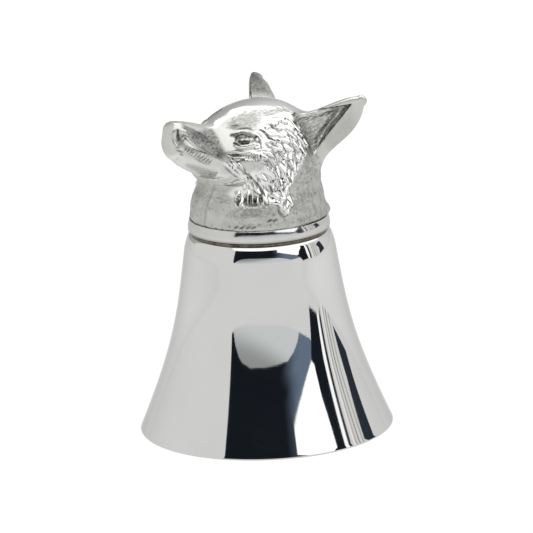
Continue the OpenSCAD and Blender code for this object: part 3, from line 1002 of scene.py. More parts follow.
# How dark the hollows among the fur are
FURRED_EDGE = (-0.2, 0.3)
HOLLOW_ROUNDS = 10
HOLLOW_FULL = 0.42
HOLLOW_DARKNESS = 0.65
# How polished and how bright the parts of the head are, and where, with painted light on the underside of
# the jaw and in the ear's pit
FUR_SHINE_REACH = (0.3, 2.2)
FUR_SHINE_HEIGHTS = (73, 77)
FUR_SHINE_FADE = 0.6
FUR_SHINE_SIDE = (3, 5)
CHEEK_SHINE = 0.25
FACE_SHINE = 0.25
FACE_SHINE_HEIGHTS = (THROAT_Z, THROAT_Z + 4)
CROWN_FACING = (0.865, 0.905)
JAW_SHINE = 0.2
# Painted light: the jaw's underside, which faces down, is made brighter
JAW_FILL_LIGHT = 0.9
JAW_FACING = (-0.1, -0.6)
JAW_HEIGHTS = (THROAT_Z - 1, THROAT_Z + 2)
EAR_RIM_SHINE = 0.6
EAR_RIM_FACING = (0.5, 0.8)
EAR_RIM_SPAN = (0.25, 0.4)
# Painted light that brightens the ear's pit
PIT_FILL_LIGHT = 0.5
# How strokes wander, taper and end
TRACE_STEP = 0.3
STROKE_LEAST = 3
PATCH_LEAST = 2
BEND = 0.22
SWAY = 0.16
GROOVE_END = 0.02
LOCK_TIP = (0.86, 1.0)
LOCK_POINT = 0.01
STAIN_END = 0.1
STAIN_EDGE = (1.0, 0.7)


def outline_depth(points, corners):
    """How far points of a plane lie inside a closed outline, below zero outside it."""
    best = np.full(len(points), np.inf)
    inside = np.zeros(len(points), bool)
    for a, b in zip(corners, np.roll(corners, -1, 0)):
        best = np.minimum(best, link_distance(points, a, b)[0])
        run, rise = b - a
        rise = rise if abs(rise) > TINY else TINY
        spans = (a[1] > points[:, 1]) != (b[1] > points[:, 1])
        inside ^= spans & (points[:, 0] < a[0] + (points[:, 1] - a[1]) * run / rise)
    return np.where(inside, best, -best)


def off_cheek(points):
    """Zero inside the bare patch of the cheek and one outside it."""
    return smoothstep(*CHEEK_EDGE, np.linalg.norm((points[:, 1:] - CHEEK_CENTRE) / CHEEK_RADII, axis=1))


def noise_at(points):
    return np.array([noise.noise(Vector(p)) for p in points])


def lift_to(layer, found, amounts):
    """Brings the values of a layer at the found points up to the amounts."""
    layer[found] = np.maximum(layer[found], amounts)


def spindle(share, end):
    """A width that swells along a line and narrows to both ends."""
    return np.sqrt(np.sin(math.pi * np.clip(share, end, 1 - end)))


class Relief:
    """Heights, stains and painted shade over the points of a settled half, made by strokes."""

    def __init__(self, points, normals, seed):
        self.points = points
        self.normals = normals
        self.random = np.random.default_rng(seed)
        self.raised = np.zeros(len(points))
        self.cut = np.zeros(len(points))
        self.stain_and_shade = np.zeros(len(points))
        self.tree = kdtree.KDTree(len(points))
        for i, p in enumerate(points):
            self.tree.insert(p, i)
        self.tree.balance()

    def picks(self, weight, count):
        """A count of points drawn by weight."""
        return self.random.choice(len(weight), count, p=weight / weight.sum())

    def trace(self, start, flow, length, room):
        """A line along the surface that follows the flow from a point, while there is room for it."""
        bend = self.random.normal(0, BEND)
        sway = self.random.normal(0, SWAY)
        here = start
        line = [self.points[here]]
        for _ in range(int(length / TRACE_STEP)):
            way = flow(self.points[here])
            n = self.normals[here]
            way = unit(way - (way @ n) * n + LEAST)
            way = unit(way * math.cos(bend) + np.cross(n, way) * math.sin(bend))
            bend += sway * TRACE_STEP
            ahead = line[-1] + TRACE_STEP * way
            here = self.tree.find(ahead)[1]
            if room[here] < 0:
                break
            line.append(mix(ahead, self.points[here], 0.5))
        return np.array(line)

    def near(self, line, reach):
        """Points near a line, with their distance from it and their share of its length."""
        middle = (line[0] + line[-1]) / 2
        span = np.linalg.norm(line - middle, axis=1).max() + reach
        found = np.array([i for _, i, _ in self.tree.find_range(middle, span)], int)
        p = self.points[found]
        best = np.full(len(found), np.inf)
        share = np.zeros(len(found))
        for i, (a, b) in enumerate(zip(line, line[1:])):
            d, t = link_distance(p, a, b)
            share = np.where(d < best, (i + t) / (len(line) - 1), share)
            best = np.minimum(best, d)
        return found, best, share

    def laid(self, points):
        """A smooth line through the points, laid on the surface."""
        return np.array([self.points[self.tree.find(p)[1]] for p in curve(points)])

    def groove(self, line, width, depth, stain_and_shade):
        """Cuts a tapered groove along a line and darkens it."""
        found, away, share = self.near(line, width)
        taper = spindle(share, GROOVE_END)
        cross = np.clip(1 - (away / (width * (0.5 + 0.5 * taper))) ** 2, 0, 1)
        lift_to(self.cut, found, depth * taper * cross)
        lift_to(self.stain_and_shade, found, stain_and_shade * taper * np.sqrt(cross))

    def score(self, points, *section):
        """Cuts a groove along a smooth line through the points."""
        self.groove(self.laid(points), *section)

    def strokes(self, starts, flow, room, ranges, least=STROKE_LEAST):
        """Cuts a groove along the flow from each start that has room, with its sizes drawn from ranges."""
        lengths, *sections = ranges
        for start in starts:
            line = self.trace(start, flow, self.random.uniform(*lengths), room)
            if len(line) > least:
                self.groove(line, *(self.random.uniform(*section) for section in sections))

    def lock(self, line, width, height):
        """Raises a lock of fur that thins to a point at the end of a line."""
        found, away, share = self.near(line, width)
        wide = width * np.sqrt(np.clip(1 - share**2, LOCK_POINT, 1))
        cross = np.clip(1 - np.abs(away / wide) ** 3, 0, 1)
        lift = share * (1 - smoothstep(*LOCK_TIP, share))
        lift_to(self.raised, found, height * lift * cross)

    def darken(self, line, radius, amount, tapered):
        """Darkens the surface near a line; used for stains and for painted shade."""
        found, away, share = self.near(line, radius)
        wide = spindle(share, STAIN_END) if tapered else 1
        lift_to(self.stain_and_shade, found, amount * smoothstep(*STAIN_EDGE, away / (radius * wide)))

    def shade(self, amounts):
        """Darkens every point by at least its amount; used for stains and for painted shade."""
        self.stain_and_shade = np.maximum(self.stain_and_shade, amounts)


def fur_flow(p):
    """The way the fur lies at a point of the side of the head."""
    away = (GUIDES[:, :2] - p[1:]) / GUIDE_REACH
    weight = np.exp(-0.5 * (away**2).sum(1)) + TINY
    return np.array([0.0, *(weight @ GUIDES[:, 2:])])


def spread_starts(relief, weight):
    """Points picked by weight, none too near another."""
    taken = np.empty((0, 3))
    starts = []
    for start in relief.picks(weight, FUR_TRIES):
        p = relief.points[start]
        if len(taken) == 0 or np.linalg.norm(taken - p, axis=1).min() > FUR_SPACING:
            taken = np.concatenate([taken, [p]])
            starts.append(start)
    return starts


def lay_locks(relief, fur, room):
    """Overlapping locks of fur over the cheek."""
    random = relief.random
    for start in spread_starts(relief, fur):
        line = relief.trace(start, fur_flow, random.uniform(*LOCK_LENGTH), room)
        if len(line) > LOCK_LEAST:
            length = np.linalg.norm(np.diff(line, axis=0), axis=1).sum()
            width = random.uniform(*LOCK_WIDTH)
            relief.lock(line, width, FUR_TILT * length * random.uniform(*LOCK_TILT))


def lay_fur(relief, inside, in_ear, ruff_fore):
    """Locks of fur over the cheek and ruff, with thin cuts among them and dark gaps in the fringe."""
    points = relief.points
    on_side = smoothstep(*FUR_SIDE, points[:, 0])
    clear = off_cheek(points)
    fur = smoothstep(*FUR_EDGE, inside) * on_side * clear * ~in_ear
    room = np.where(clear < CHEEK_ROOM, -1, inside + FUR_OVERRUN)
    lay_locks(relief, fur, room)
    for line, width, height in RUFF_LOCKS:
        if line[0][1] < ruff_fore:
            relief.lock(relief.laid(line), width, height)
    swell = RUFF_SWELL * smoothstep(*SWELL_HEIGHTS, points[:, 2]) * smoothstep(*SWELL_FORES, points[:, 1])
    relief.raised += swell * smoothstep(*SWELL_EDGE, inside) * on_side
    relief.strokes(relief.picks(fur, FUR_STROKES), fur_flow, room, FUR_STROKE)
    anywhere = np.ones(len(points))
    patch = relief.picks((1 - clear) * on_side, PATCH_STROKES)
    relief.strokes(patch, fur_flow, anywhere, PATCH_STROKE, PATCH_LEAST)
    for fore in RUFF_GAPS:
        if fore < ruff_fore:
            side = math.sqrt(FRINGE_R**2 - fore**2)
            ends = [(side, fore - RUFF_GAP_SLANT, RUFF_GAP_TOP), (side, fore, RUFF_GAP_LOW)]
            relief.score(ends, *RUFF_GAP_CUT)


def lay_ear_hair(relief, in_ear):
    """Hair along the floor of the ear's pit, with dark edges above and below and a dark root."""
    rims = hollow_rims(relief.points)
    share, _, _ = ear_places(relief.points)
    edge = np.maximum(rims[0], rims[1])
    relief.shade(in_ear * mix(*PIT_DARKNESS, smoothstep(*PIT_DARK_EDGE, edge)))
    relief.shade(in_ear * PIT_ROOT_DARKNESS * smoothstep(*PIT_ROOT, share))
    room = np.where(in_ear, 1, -1)
    starts = relief.random.choice(np.flatnonzero(in_ear), EAR_STROKES)
    relief.strokes(starts, lambda p: ear_axis, room, EAR_STROKE)


def lay_face_hair(relief, inside):
    """Short strokes over the forehead and round the eye, below the smooth top of the crown."""
    side, fore, high = relief.points.T
    bare = smoothstep(*FACE_SIDE, side) * smoothstep(*FACE_LOW, high) * smoothstep(*FACE_HIGH, high)
    bare *= smoothstep(*FACE_FORE, fore) * (inside < 0) * (fore > FACE_REAR)
    bare *= np.linalg.norm(relief.points - eye_centre, axis=1) > EYE_ROOM
    room = np.where(bare > FACE_ROOM, 1, -1)
    relief.strokes(relief.picks(bare, FACE_STROKES), fur_flow, room, FACE_STROKE)


def rungs(top, low, count, slant=0):
    """Pairs of points across the strip between two lines, each pair's top further on by the slant."""
    top, low = curve(top, RUNG_STEPS), curve(low, RUNG_STEPS)
    for i in range(count):
        k = round(mix(0, len(low) - 1 - slant, i / (count - 1)))
        yield [top[k + slant], low[k]]


def chase_face(relief, ruff_fore):
    """Cut lines round the eye and cheek, whisker marks, and the stippled side of the muzzle."""
    for line, *section in CUTS:
        if min(p[1] for p in line) < ruff_fore or line[-1][2] > RUFF_LOW_Z:
            relief.score(line, *section)
    # Stains round the eye and nose, and painted shade along the bridge
    for stains, tapered in ((STAINS_AND_SHADE, False), (TAPERED_STAINS, True)):
        for line, radius, dark in stains:
            relief.darken(relief.laid(line), radius, dark, tapered)
    for ends in rungs(HATCH_TOP, HATCH_LOW, HATCHES, HATCH_SLANT):
        relief.score(ends, *HATCH_CUT)
    for ends in rungs(LASH_TOP, LASH_LOW, LASHES):
        relief.score(ends, *LASH_CUT, relief.random.uniform(*LASH_DARKNESS))
    wedge = smoothstep(*WEDGE_EDGE, outline_depth(relief.points[:, 1:], WEDGE))
    wedge *= smoothstep(*WEDGE_SIDE, relief.points[:, 0])
    stipple = sum(noise_at(relief.points * scale) for scale in STIPPLE_SCALES)
    relief.raised += STIPPLE_HEIGHT * wedge * stipple
    relief.shade(wedge * np.clip(WEDGE_DARKNESS - STIPPLE_DARKNESS * stipple, *WEDGE_DARKNESS_LIMITS))


def roughen_neck(relief, inside):
    """The pebbled, streaky skin of the neck, darker just above the collar towards the back, and its small
    nicks.
    """
    random = relief.random
    points = relief.points
    _, fore, high = points.T
    neck = smoothstep(*NECK_EDGE, inside) * smoothstep(*NECK_TOP, high)
    coarse, fine = (noise_at(points * scale) for scale in PEBBLE_SCALES)
    pebble = coarse + PEBBLE_FINE_SHARE * fine
    streak = noise_at(points * STREAK_SCALES) * smoothstep(*STREAK_FORES, fore)
    relief.raised += neck * (PEBBLE_HEIGHT * pebble + STREAK_HEIGHT * streak)
    relief.shade(neck * STREAK_DARKNESS * smoothstep(0, STREAK_FULL, -streak))
    # Darkens the neck just above the collar, towards the back
    relief.shade(COLLAR_DARKNESS * smoothstep(*COLLAR_DARK_HEIGHTS, high) * smoothstep(*COLLAR_DARK_FORES, fore))
    for start in random.choice(np.flatnonzero(neck > NECK_FULL), NICKS):
        spot = points[start]
        line = np.array([spot, spot + random.normal(0, NICK_RUN, 3)])
        relief.groove(line, *(random.uniform(*section) for section in NICK_CUT))


def mark_foot(relief):
    """Slanted scratches left by the file round the foot of the neck."""
    for first, last, high, count in FOOT_MARKS:
        for fore in np.linspace(first, last, count):
            start = np.array([math.sqrt(NECK_R**2 - fore**2), fore, high])
            dark = relief.random.uniform(*FOOT_MARK_DARKNESS)
            relief.score([start, start + FOOT_MARK_RUN], *FOOT_MARK_CUT, dark)


def hollows(heights, quads):
    """How far each point lies below its surroundings."""
    ends = both_ways(quads)
    shares = np.bincount(ends[:, 0], minlength=len(heights))
    mean = heights
    for _ in range(HOLLOW_ROUNDS):
        mean = np.bincount(ends[:, 0], mean[ends[:, 1]], len(heights)) / shares
    return np.maximum(mean - heights, 0)


def ruff_outline(ruff_fore):
    """The fur's outline, whose low part comes no further forward than a limit."""
    ruff = RUFF.copy()
    low_down = ruff[:, 1] < RUFF_LOW_Z
    ruff[low_down, 0] = np.minimum(ruff[low_down, 0], ruff_fore)
    return ruff


def in_ear_pit(points, normals):
    """Which points lie in the ear's pit."""
    share, _, opening = ear_places(points)
    rims = np.max(hollow_rims(points), axis=0)
    in_front = opening > ear_mouth(share) - HOLLOW_DEPTH - PIT_MARGIN
    facing = normals @ ear_opening > PIT_FACING
    return (rims < PIT_SLACK) & in_front & facing & (share > -PIT_SLACK) & (points[:, 0] > PIT_INNER_SIDE)


def inner_ear_back(points, normals):
    """How far each point belongs to the inner side of the ear's back."""
    share, _, _ = ear_places(points)
    turned_in = smoothstep(*EAR_SHADE_INNER, normals[:, 0]) * smoothstep(*EAR_SHADE_REAR, normals[:, 1])
    return smoothstep(*EAR_SHADE_SPAN, share) * turned_in


def ear_strip(points, normals):
    """How far each point belongs to the strip of the ear's front below the pit."""
    share, stand, _ = ear_places(points)
    along = smoothstep(*STRIP_SPANS[0], share) * smoothstep(*STRIP_SPANS[1], share)
    return along * smoothstep(*STRIP_FACING, normals @ ear_opening) * smoothstep(*STRIP_TOP, stand)


def burnish_and_fill_light(points, normals, inside, in_ear, ear_shade):
    """How polished each point is, and how bright its metal is, with painted light on the jaw's underside and
    in the ear's pit.
    """
    share, _, _ = ear_places(points)
    side, _, high = points.T
    reach = mix(*FUR_SHINE_REACH, smoothstep(*FUR_SHINE_HEIGHTS, high))
    in_fur = smoothstep(-reach, FUR_SHINE_FADE, inside) * smoothstep(*FUR_SHINE_SIDE, side)
    in_fur *= mix(CHEEK_SHINE, 1.0, off_cheek(points))
    face = FACE_SHINE * smoothstep(*FACE_SHINE_HEIGHTS, high)
    crown = smoothstep(*CROWN_FACING, normals[:, 2]) * (high > THROAT_Z + EYE_RISE)
    jaw = smoothstep(*JAW_FACING, normals[:, 2]) * smoothstep(*JAW_HEIGHTS, high) * (share < 0)
    ear_rim = EAR_RIM_SHINE * smoothstep(*EAR_RIM_FACING, normals @ ear_stand)
    ear_rim *= smoothstep(*EAR_RIM_SPAN, share)
    polish = np.max([in_fur, face, JAW_SHINE * jaw, crown, ear_rim], axis=0) * ~in_ear * (1 - ear_shade)
    # Painted light brightens the underside of the jaw and the ear's pit
    bright = np.max([polish, JAW_FILL_LIGHT * jaw, PIT_FILL_LIGHT * in_ear], axis=0)
    return polish, bright


def chase(points, normals, quads, seed, ruff_fore, ear_shade_amount):
    """Heights of all the chasing, and how dark, how polished and how bright each point is."""
    relief = Relief(points, normals, seed)
    inside = outline_depth(points[:, 1:], ruff_outline(ruff_fore))
    in_ear = in_ear_pit(points, normals)
    lay_fur(relief, inside, in_ear, ruff_fore)
    lay_ear_hair(relief, in_ear)
    lay_face_hair(relief, inside)
    chase_face(relief, ruff_fore)
    roughen_neck(relief, inside)
    mark_foot(relief)
    parting = np.exp(-(points[:, 0] / PARTING_W) ** 2) * smoothstep(*PARTING_HEIGHTS, points[:, 2])
    heights = (relief.raised - relief.cut) * smoothstep(*MIDDLE_FADE, points[:, 0]) - PARTING_DEPTH * parting
    # Painted shade on the inner side of each ear's back, which is also kept unpolished
    ear_shade = ear_shade_amount * inner_ear_back(points, normals) * ~in_ear
    relief.shade(ear_shade)
    relief.shade(PARTING_DARKNESS * parting)
    # Painted shade on the strip of the ear's front below the pit
    relief.shade(STRIP_SHADE * ear_strip(points, normals) * ~in_ear)
    deep = np.clip(hollows(heights, quads) / HOLLOW_FULL, 0, HOLLOW_DARKNESS)
    relief.shade(smoothstep(*FURRED_EDGE, inside) * deep)
    polish, bright = burnish_and_fill_light(points, normals, inside, in_ear, ear_shade)
    return heights, relief.stain_and_shade, polish, bright


base_points, base_quads = subdivide(*surface_net(head_distance, NET_STEP))
base_points = settle(base_points, base_quads, head_distance)
cavity_points, cavity_quads = surface_net(cavity_distance, CAVITY_STEP)


def split_loop(points, loop):
    """An open edge as its run along the middle plane and its run round the foot, both from front to back."""
    at = points[loop]
    corner = [i for i in range(len(loop)) if at[i, 0] < TINY and at[i, 2] < NECK_Z + TINY]
    front = max(corner, key=lambda i: at[i, 1])
    rear = min(corner, key=lambda i: at[i, 1])
    turned = loop[front:] + loop[:front]
    cut = (rear - front) % len(loop)
    one, two = turned[:cut + 1], [turned[0]] + turned[:cut - 1:-1]
    return (one, two) if points[one].max(0)[2] > points[two].max(0)[2] else (two, one)


def flat_cap(points, outer, inner, axes):
    """Triangles that close the flat ring between two runs of points, facing back along the third axis."""
    ring = outer + inner[::-1]
    flat = [Vector((*points[i][list(axes)], 0)) for i in ring]
    tris = np.array([[ring[k] for k in t] for t in geometry.tessellate_polygon([flat])])
    a, b, c = points[tris[:, 0]], points[tris[:, 1]], points[tris[:, 2]]
    third = 3 - sum(axes)
    wrong = np.cross(b - a, c - a)[:, third] > 0
    tris[wrong] = tris[wrong][:, ::-1]
    return tris


def flat_caps(points, lining):
    """Triangles over the two flat cuts, between the open edges of the skin and of the lining."""
    middle_out, foot_out = split_loop(points, boundary_loop(base_quads))
    middle_in, foot_in = split_loop(points, boundary_loop(lining))
    middle = flat_cap(points, middle_out, middle_in, (1, 2))
    foot = flat_cap(points, foot_out, foot_in, (0, 1))
    return np.concatenate([middle, foot])


def make_head_half(name, side, seed, ruff_fore, ear_shade_amount):
    """One half of the hollow casting, chased outside and closed along its two flat cuts."""
    rest_normals = vertex_normals(base_points, base_quads)
    heights, *looks = chase(base_points, rest_normals, base_quads, seed, ruff_fore, ear_shade_amount)
    skin = base_points + rest_normals * heights[:, None]
    skin[base_points[:, 0] < TINY, 0] = 0
    skin[base_points[:, 2] < NECK_Z + TINY, 2] = NECK_Z
    points = np.concatenate([skin, cavity_points])
    lining = cavity_quads[:, ::-1] + len(skin)
    caps = flat_caps(points, lining)
    quads = np.concatenate([base_quads, lining])
    smooth = np.concatenate([vertex_normals(skin, base_quads), -vertex_normals(cavity_points, cavity_quads)])
    turn = np.array([side, -1, 1])
    if side > 0:
        quads = quads[:, ::-1]
        caps = caps[:, ::-1]
    placed = points * turn
    a, b, c = (placed[caps[:, k]] for k in range(3))
    flat = unit_rows(np.cross(b - a, c - a))
    normals = np.concatenate([(smooth * turn)[quads.ravel()], np.repeat(flat, 3, 0)])
    piece = link_mesh(name, placed, [quads, caps], normals)
    # The first layer holds patina and painted shade, the last holds the brightness of polish and painted
    # light
    for layer, values in zip(("patina_and_shade", "polish", "bright"), looks):
        attribute = piece.data.attributes.new(layer, "FLOAT", "POINT")
        padded = np.concatenate([values, np.zeros(len(cavity_points))])
        attribute.data.foreach_set("value", padded.astype(np.float32))
    return piece


# Materials

# The share of light that the metal's reflections keep at grazing angles
EDGE_SHARE = 0.68
BELL_PEWTER = [(0.59, 0.594, 0.585), (0.615, 0.614, 0.605)]
COLLAR_PEWTER = [(0.5, 0.5, 0.485), (0.57, 0.568, 0.555)]
SATIN_PEWTER = [(0.425, 0.427, 0.405), (0.51, 0.511, 0.49)]
# Bright pewter of the polished places, also used as painted light under the jaw and in the ear's pit
BURNISHED_AND_LIT_PEWTER = (0.75, 0.75, 0.735)
BRIGHT_ROUGHNESS = 0.1
# The dark colour of the patina in the cuts and of the painted shade
PATINA_AND_SHADE = (0.05, 0.047, 0.042)
# The painted shade low on the collar, and its greatest share
SEAM_SHADE = (0.12, 0.1, 0.08)
SEAM_SHADE_SHARE = 0.75
SOLDER = [(0.08, 0.066, 0.048), (0.25, 0.222, 0.175)]


def new_material(name):
    material = bpy.data.materials.new(name)
    material.use_nodes = True
    return material, material.node_tree.nodes, material.node_tree.links


def attribute_node(nodes, name):
    attribute = nodes.new("ShaderNodeAttribute")
    attribute.attribute_name = name
    return attribute.outputs["Fac"]


class Metal:
    """A metal whose shader is fed by small nodes."""

    def __init__(self, name, edge=1.0):
        self.material, self.nodes, self.links = new_material(name)
        self.shader = self.nodes["Principled BSDF"]
        self.shader.inputs["Metallic"].default_value = 1
        self.shader.inputs["Specular Tint"].default_value = (edge, edge, edge, 1)

    def feed(self, socket, value):
        self.links.new(value, self.shader.inputs[socket])

    def place(self):
        """The object's own coordinates."""
        return self.nodes.new("ShaderNodeTexCoord").outputs["Object"]

    def noise(self, scale, detail, stretch=None):
        """A noise over the object's own coordinates, stretched where a stretch is given."""
        source = self.place()
        if stretch:
            mapping = self.nodes.new("ShaderNodeMapping")
            mapping.inputs["Scale"].default_value = stretch
            self.links.new(source, mapping.inputs["Vector"])
            source = mapping.outputs["Vector"]
        texture = self.nodes.new("ShaderNodeTexNoise")
        texture.inputs["Scale"].default_value = scale
        texture.inputs["Detail"].default_value = detail
        self.links.new(source, texture.inputs["Vector"])
        return texture.outputs["Fac"]

    def ranged(self, value, low=0.0, high=1.0, start=0.3, end=0.7):
        """A value from one range carried to another."""
        span = self.nodes.new("ShaderNodeMapRange")
        span.inputs["From Min"].default_value = start
        span.inputs["From Max"].default_value = end
        span.inputs["To Min"].default_value = low
        span.inputs["To Max"].default_value = high
        self.links.new(value, span.inputs["Value"])
        return span.outputs["Result"]

    def product(self, one, two):
        product = self.nodes.new("ShaderNodeMath")
        product.operation = "MULTIPLY"
        product.use_clamp = True
        self.links.new(one, product.inputs[0])
        self.links.new(two, product.inputs[1])
        return product.outputs[0]

    def blend(self, value, low, high):
        """A colour between two other nodes' colours or plain ones, by a value from 0 to 1."""
        pick = self.nodes.new("ShaderNodeMix")
        pick.data_type = "RGBA"
        for name, colour in (("A", low), ("B", high)):
            if isinstance(colour, tuple):
                pick.inputs[name].default_value = (*colour, 1)
            else:
                self.links.new(colour, pick.inputs[name])
        self.links.new(value, pick.inputs["Factor"])
        return pick.outputs["Result"]

    def bump(self, height, distance, under=None):
        bump = self.nodes.new("ShaderNodeBump")
        bump.inputs["Strength"].default_value = 1.0
        bump.inputs["Distance"].default_value = distance
        self.links.new(height, bump.inputs["Height"])
        if under:
            self.links.new(under, bump.inputs["Normal"])
        return bump.outputs["Normal"]


def polished_pewter():
    """Spun and buffed pewter: nearly a mirror, with faint smears and fine lines round the bell."""
    metal = Metal("polished_pewter", EDGE_SHARE)
    smear = metal.noise(scale=60, detail=4)
    metal.feed("Base Color", metal.blend(metal.ranged(smear), *BELL_PEWTER))
    metal.feed("Roughness", metal.ranged(smear, low=0.025, high=0.055))
    rings = metal.noise(scale=1, detail=2, stretch=(30, 30, 2600))
    lines = metal.bump(rings, distance=0.0000012)
    swell = metal.noise(scale=45, detail=1)
    metal.feed("Normal", metal.bump(swell, distance=0.00003, under=lines))
    return metal.material


def worn_pewter():
    """The collar's duller pewter, with painted shade low down along the seam."""
    metal = Metal("worn_pewter", EDGE_SHARE)
    smear = metal.noise(scale=120, detail=4)
    clean = metal.blend(metal.ranged(smear), *COLLAR_PEWTER)
    parts = metal.nodes.new("ShaderNodeSeparateXYZ")
    metal.links.new(metal.place(), parts.inputs[0])
    seam = {"start": COLLAR_Z * MM, "end": (COLLAR_Z + SEAM_SHADE_H) * MM}
    # Painted shade darkens the collar towards its lower edge, at the join with the solder
    seam_shade = metal.ranged(parts.outputs["Z"], low=SEAM_SHADE_SHARE, high=0.0, **seam)
    metal.feed("Base Color", metal.blend(seam_shade, clean, SEAM_SHADE))
    metal.feed("Roughness", metal.ranged(smear, low=0.06, high=0.14))
    metal.feed("Normal", metal.bump(metal.noise(scale=900, detail=3), distance=0.00001))
    return metal.material


def cast_pewter():
    """Cast and chased pewter: polished on the fur, satin elsewhere, with patina in the cuts, painted shade
    in places, painted light under the jaw and in the ears' pits, and a fine grain.
    """
    metal = Metal("cast_pewter", EDGE_SHARE)
    uneven = metal.ranged(metal.noise(scale=1500, detail=2), low=0.7, high=1.1)
    patina_and_shade = metal.product(attribute_node(metal.nodes, "patina_and_shade"), uneven)
    satin = metal.blend(metal.ranged(metal.noise(scale=350, detail=3)), *SATIN_PEWTER)
    clean = metal.blend(attribute_node(metal.nodes, "bright"), satin, BURNISHED_AND_LIT_PEWTER)
    metal.feed("Base Color", metal.blend(patina_and_shade, clean, PATINA_AND_SHADE))
    dull = metal.ranged(metal.noise(scale=500, detail=3), low=0.3, high=0.42)
    sheen = metal.nodes.new("ShaderNodeMix")
    metal.links.new(attribute_node(metal.nodes, "polish"), sheen.inputs["Factor"])
    metal.links.new(dull, sheen.inputs["A"])
    sheen.inputs["B"].default_value = BRIGHT_ROUGHNESS
    metal.feed("Roughness", sheen.outputs["Result"])
    metal.feed("Normal", metal.bump(metal.noise(scale=1800, detail=3), distance=0.00002))
    return metal.material


def dull_solder():
    """Soft solder, dull and a little brown, lumpy along the seam."""
    metal = Metal("dull_solder")
    lumps = metal.noise(scale=500, detail=3)
    metal.feed("Base Color", metal.blend(metal.ranged(lumps), *SOLDER))
    metal.feed("Roughness", metal.ranged(lumps, low=0.35, high=0.55))
    metal.feed("Normal", metal.bump(lumps, distance=0.00005))
    return metal.material


# Pieces, each with the node that it stands for, its slot and its material

LEFT_SEED = 7
RIGHT_SEED = 19
bowl = make_bowl()
solder = make_solder()
collar = make_collar()
left_half = make_head_half("fox_head_left", 1, LEFT_SEED, LEFT_RUFF_FORE, LEFT_EAR_SHADE)
right_half = make_head_half("fox_head_right", -1, RIGHT_SEED, RIGHT_RUFF_FORE, RIGHT_EAR_SHADE)
cast = cast_pewter()
PIECES = [
    (bowl, "cup_bowl", "polished_pewter", polished_pewter()),
    (solder, "collar_solder", "solder", dull_solder()),
    (collar, "collar_ring", "polished_pewter", worn_pewter()),
    (left_half, "head_left_half", "cast_pewter", cast),
    (right_half, "head_right_half", "cast_pewter", cast),
]
for piece, node, slot, material in PIECES:
    piece.data.materials.append(material)
    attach(piece, BODY)
    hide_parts(node)


# Stage: camera, floor, world and reflecting cards

VIEW_AZIMUTH = math.radians(51)
VIEW_ELEVATION = math.radians(14.79)
VIEW_ROLL = math.radians(-2.30)
VIEW_DISTANCE = 1.0
LENS = 262.5
SENSOR = 36
CLIP_START = 0.01
AIM_RIGHT = 0.0015
AIM_HEIGHT = 0.04189


def direction(right, above):
    """A way out from the cup, in degrees to the right of the camera and above level."""
    az = VIEW_AZIMUTH + math.radians(right)
    el = math.radians(above)
    return Vector((math.sin(az) * math.cos(el), -math.cos(az) * math.cos(el), math.sin(el)))


def make_camera():
    right = direction(90, 0)
    back = direction(0, math.degrees(VIEW_ELEVATION))
    up = back.cross(right)
    rolled_right = right * math.cos(VIEW_ROLL) + up * math.sin(VIEW_ROLL)
    rolled_up = up * math.cos(VIEW_ROLL) - right * math.sin(VIEW_ROLL)
    place = right * AIM_RIGHT + Vector((0, 0, AIM_HEIGHT)) + back * VIEW_DISTANCE
    camera = bpy.data.objects.new("camera", bpy.data.cameras.new("camera"))
    camera.data.lens = LENS
    camera.data.sensor_width = SENSOR
    camera.data.clip_start = CLIP_START
    rows = zip(rolled_right, rolled_up, back, place)
    camera.matrix_world = Matrix((*rows, (0, 0, 0, 1)))
    bpy.context.scene.collection.objects.link(camera)
    bpy.context.scene.camera = camera


CARD_DISTANCE = 2.0
CARD_CENTRE_Z = 0.02
CARD_CUTS = 7
ROOM_LIGHT = 0.8
CEILING_HEIGHT = 1.2
CEILING_LIGHT = 1.7
FLOOR_SIZE = 6.0
FLOOR_GLOW = 0.76
FLOOR_PALE = (0.88, 0.88, 0.88)
FLOOR_FAINT = (0.24, 0.24, 0.24)
WHITE = (1, 1, 1)
WARM_WHITE = (1, 0.97, 0.9)
COOL_WHITE = (0.96, 0.99, 1.0)
CEILING_WHITE = (1, 1, 0.99)
DARK_BLUE = (0.73, 0.97, 1.34)
# Least shares of the fading cards' glow, and the degrees over which they fade
HAZE_LEAST = 0.06
HAZE_SPAN = (22, 38)
REFLECTOR_LEAST = 0.5
REFLECTOR_SPAN = (9, 17)
REFLECTOR_SLANT = 0.12
BACK_LEAST = 0.62
BACK_SPAN = (160, 190)
# Stripes at the right as [degrees right of the camera, width in degrees, strength]
STRIPES = [(84.5, 1.2, 1.35), (87.0, 1.2, 0.57), (90.5, 1.5, 0.43), (95.0, 1.6, 0.6)]


def plain_shader(nodes, kind, colour, strength=None):
    """A shader of one colour, with a strength where it has one."""
    shader = nodes.new(kind)
    shader.inputs["Color"].default_value = (*colour, 1)
    if strength is not None:
        shader.inputs["Strength"].default_value = strength
    return shader


def glowing(name, colour, strength, faded=False):
    """A plain glow, fading over the sheet where the sheet has its own "glow" layer."""
    material, nodes, links = new_material(name)
    nodes.clear()
    glow = plain_shader(nodes, "ShaderNodeEmission", colour, strength)
    if faded:
        product = nodes.new("ShaderNodeMath")
        product.operation = "MULTIPLY"
        product.inputs[1].default_value = strength
        links.new(attribute_node(nodes, "glow"), product.inputs[0])
        links.new(product.outputs[0], glow.inputs["Strength"])
    links.new(glow.outputs[0], nodes.new("ShaderNodeOutputMaterial").inputs[0])
    return material


def stage_mesh(name, points, faces, material):
    mesh = bpy.data.meshes.new(name)
    mesh.from_pydata(points, [], faces)
    mesh.materials.append(material)
    sheet = bpy.data.objects.new(name, mesh)
    bpy.context.scene.collection.objects.link(sheet)
    return sheet


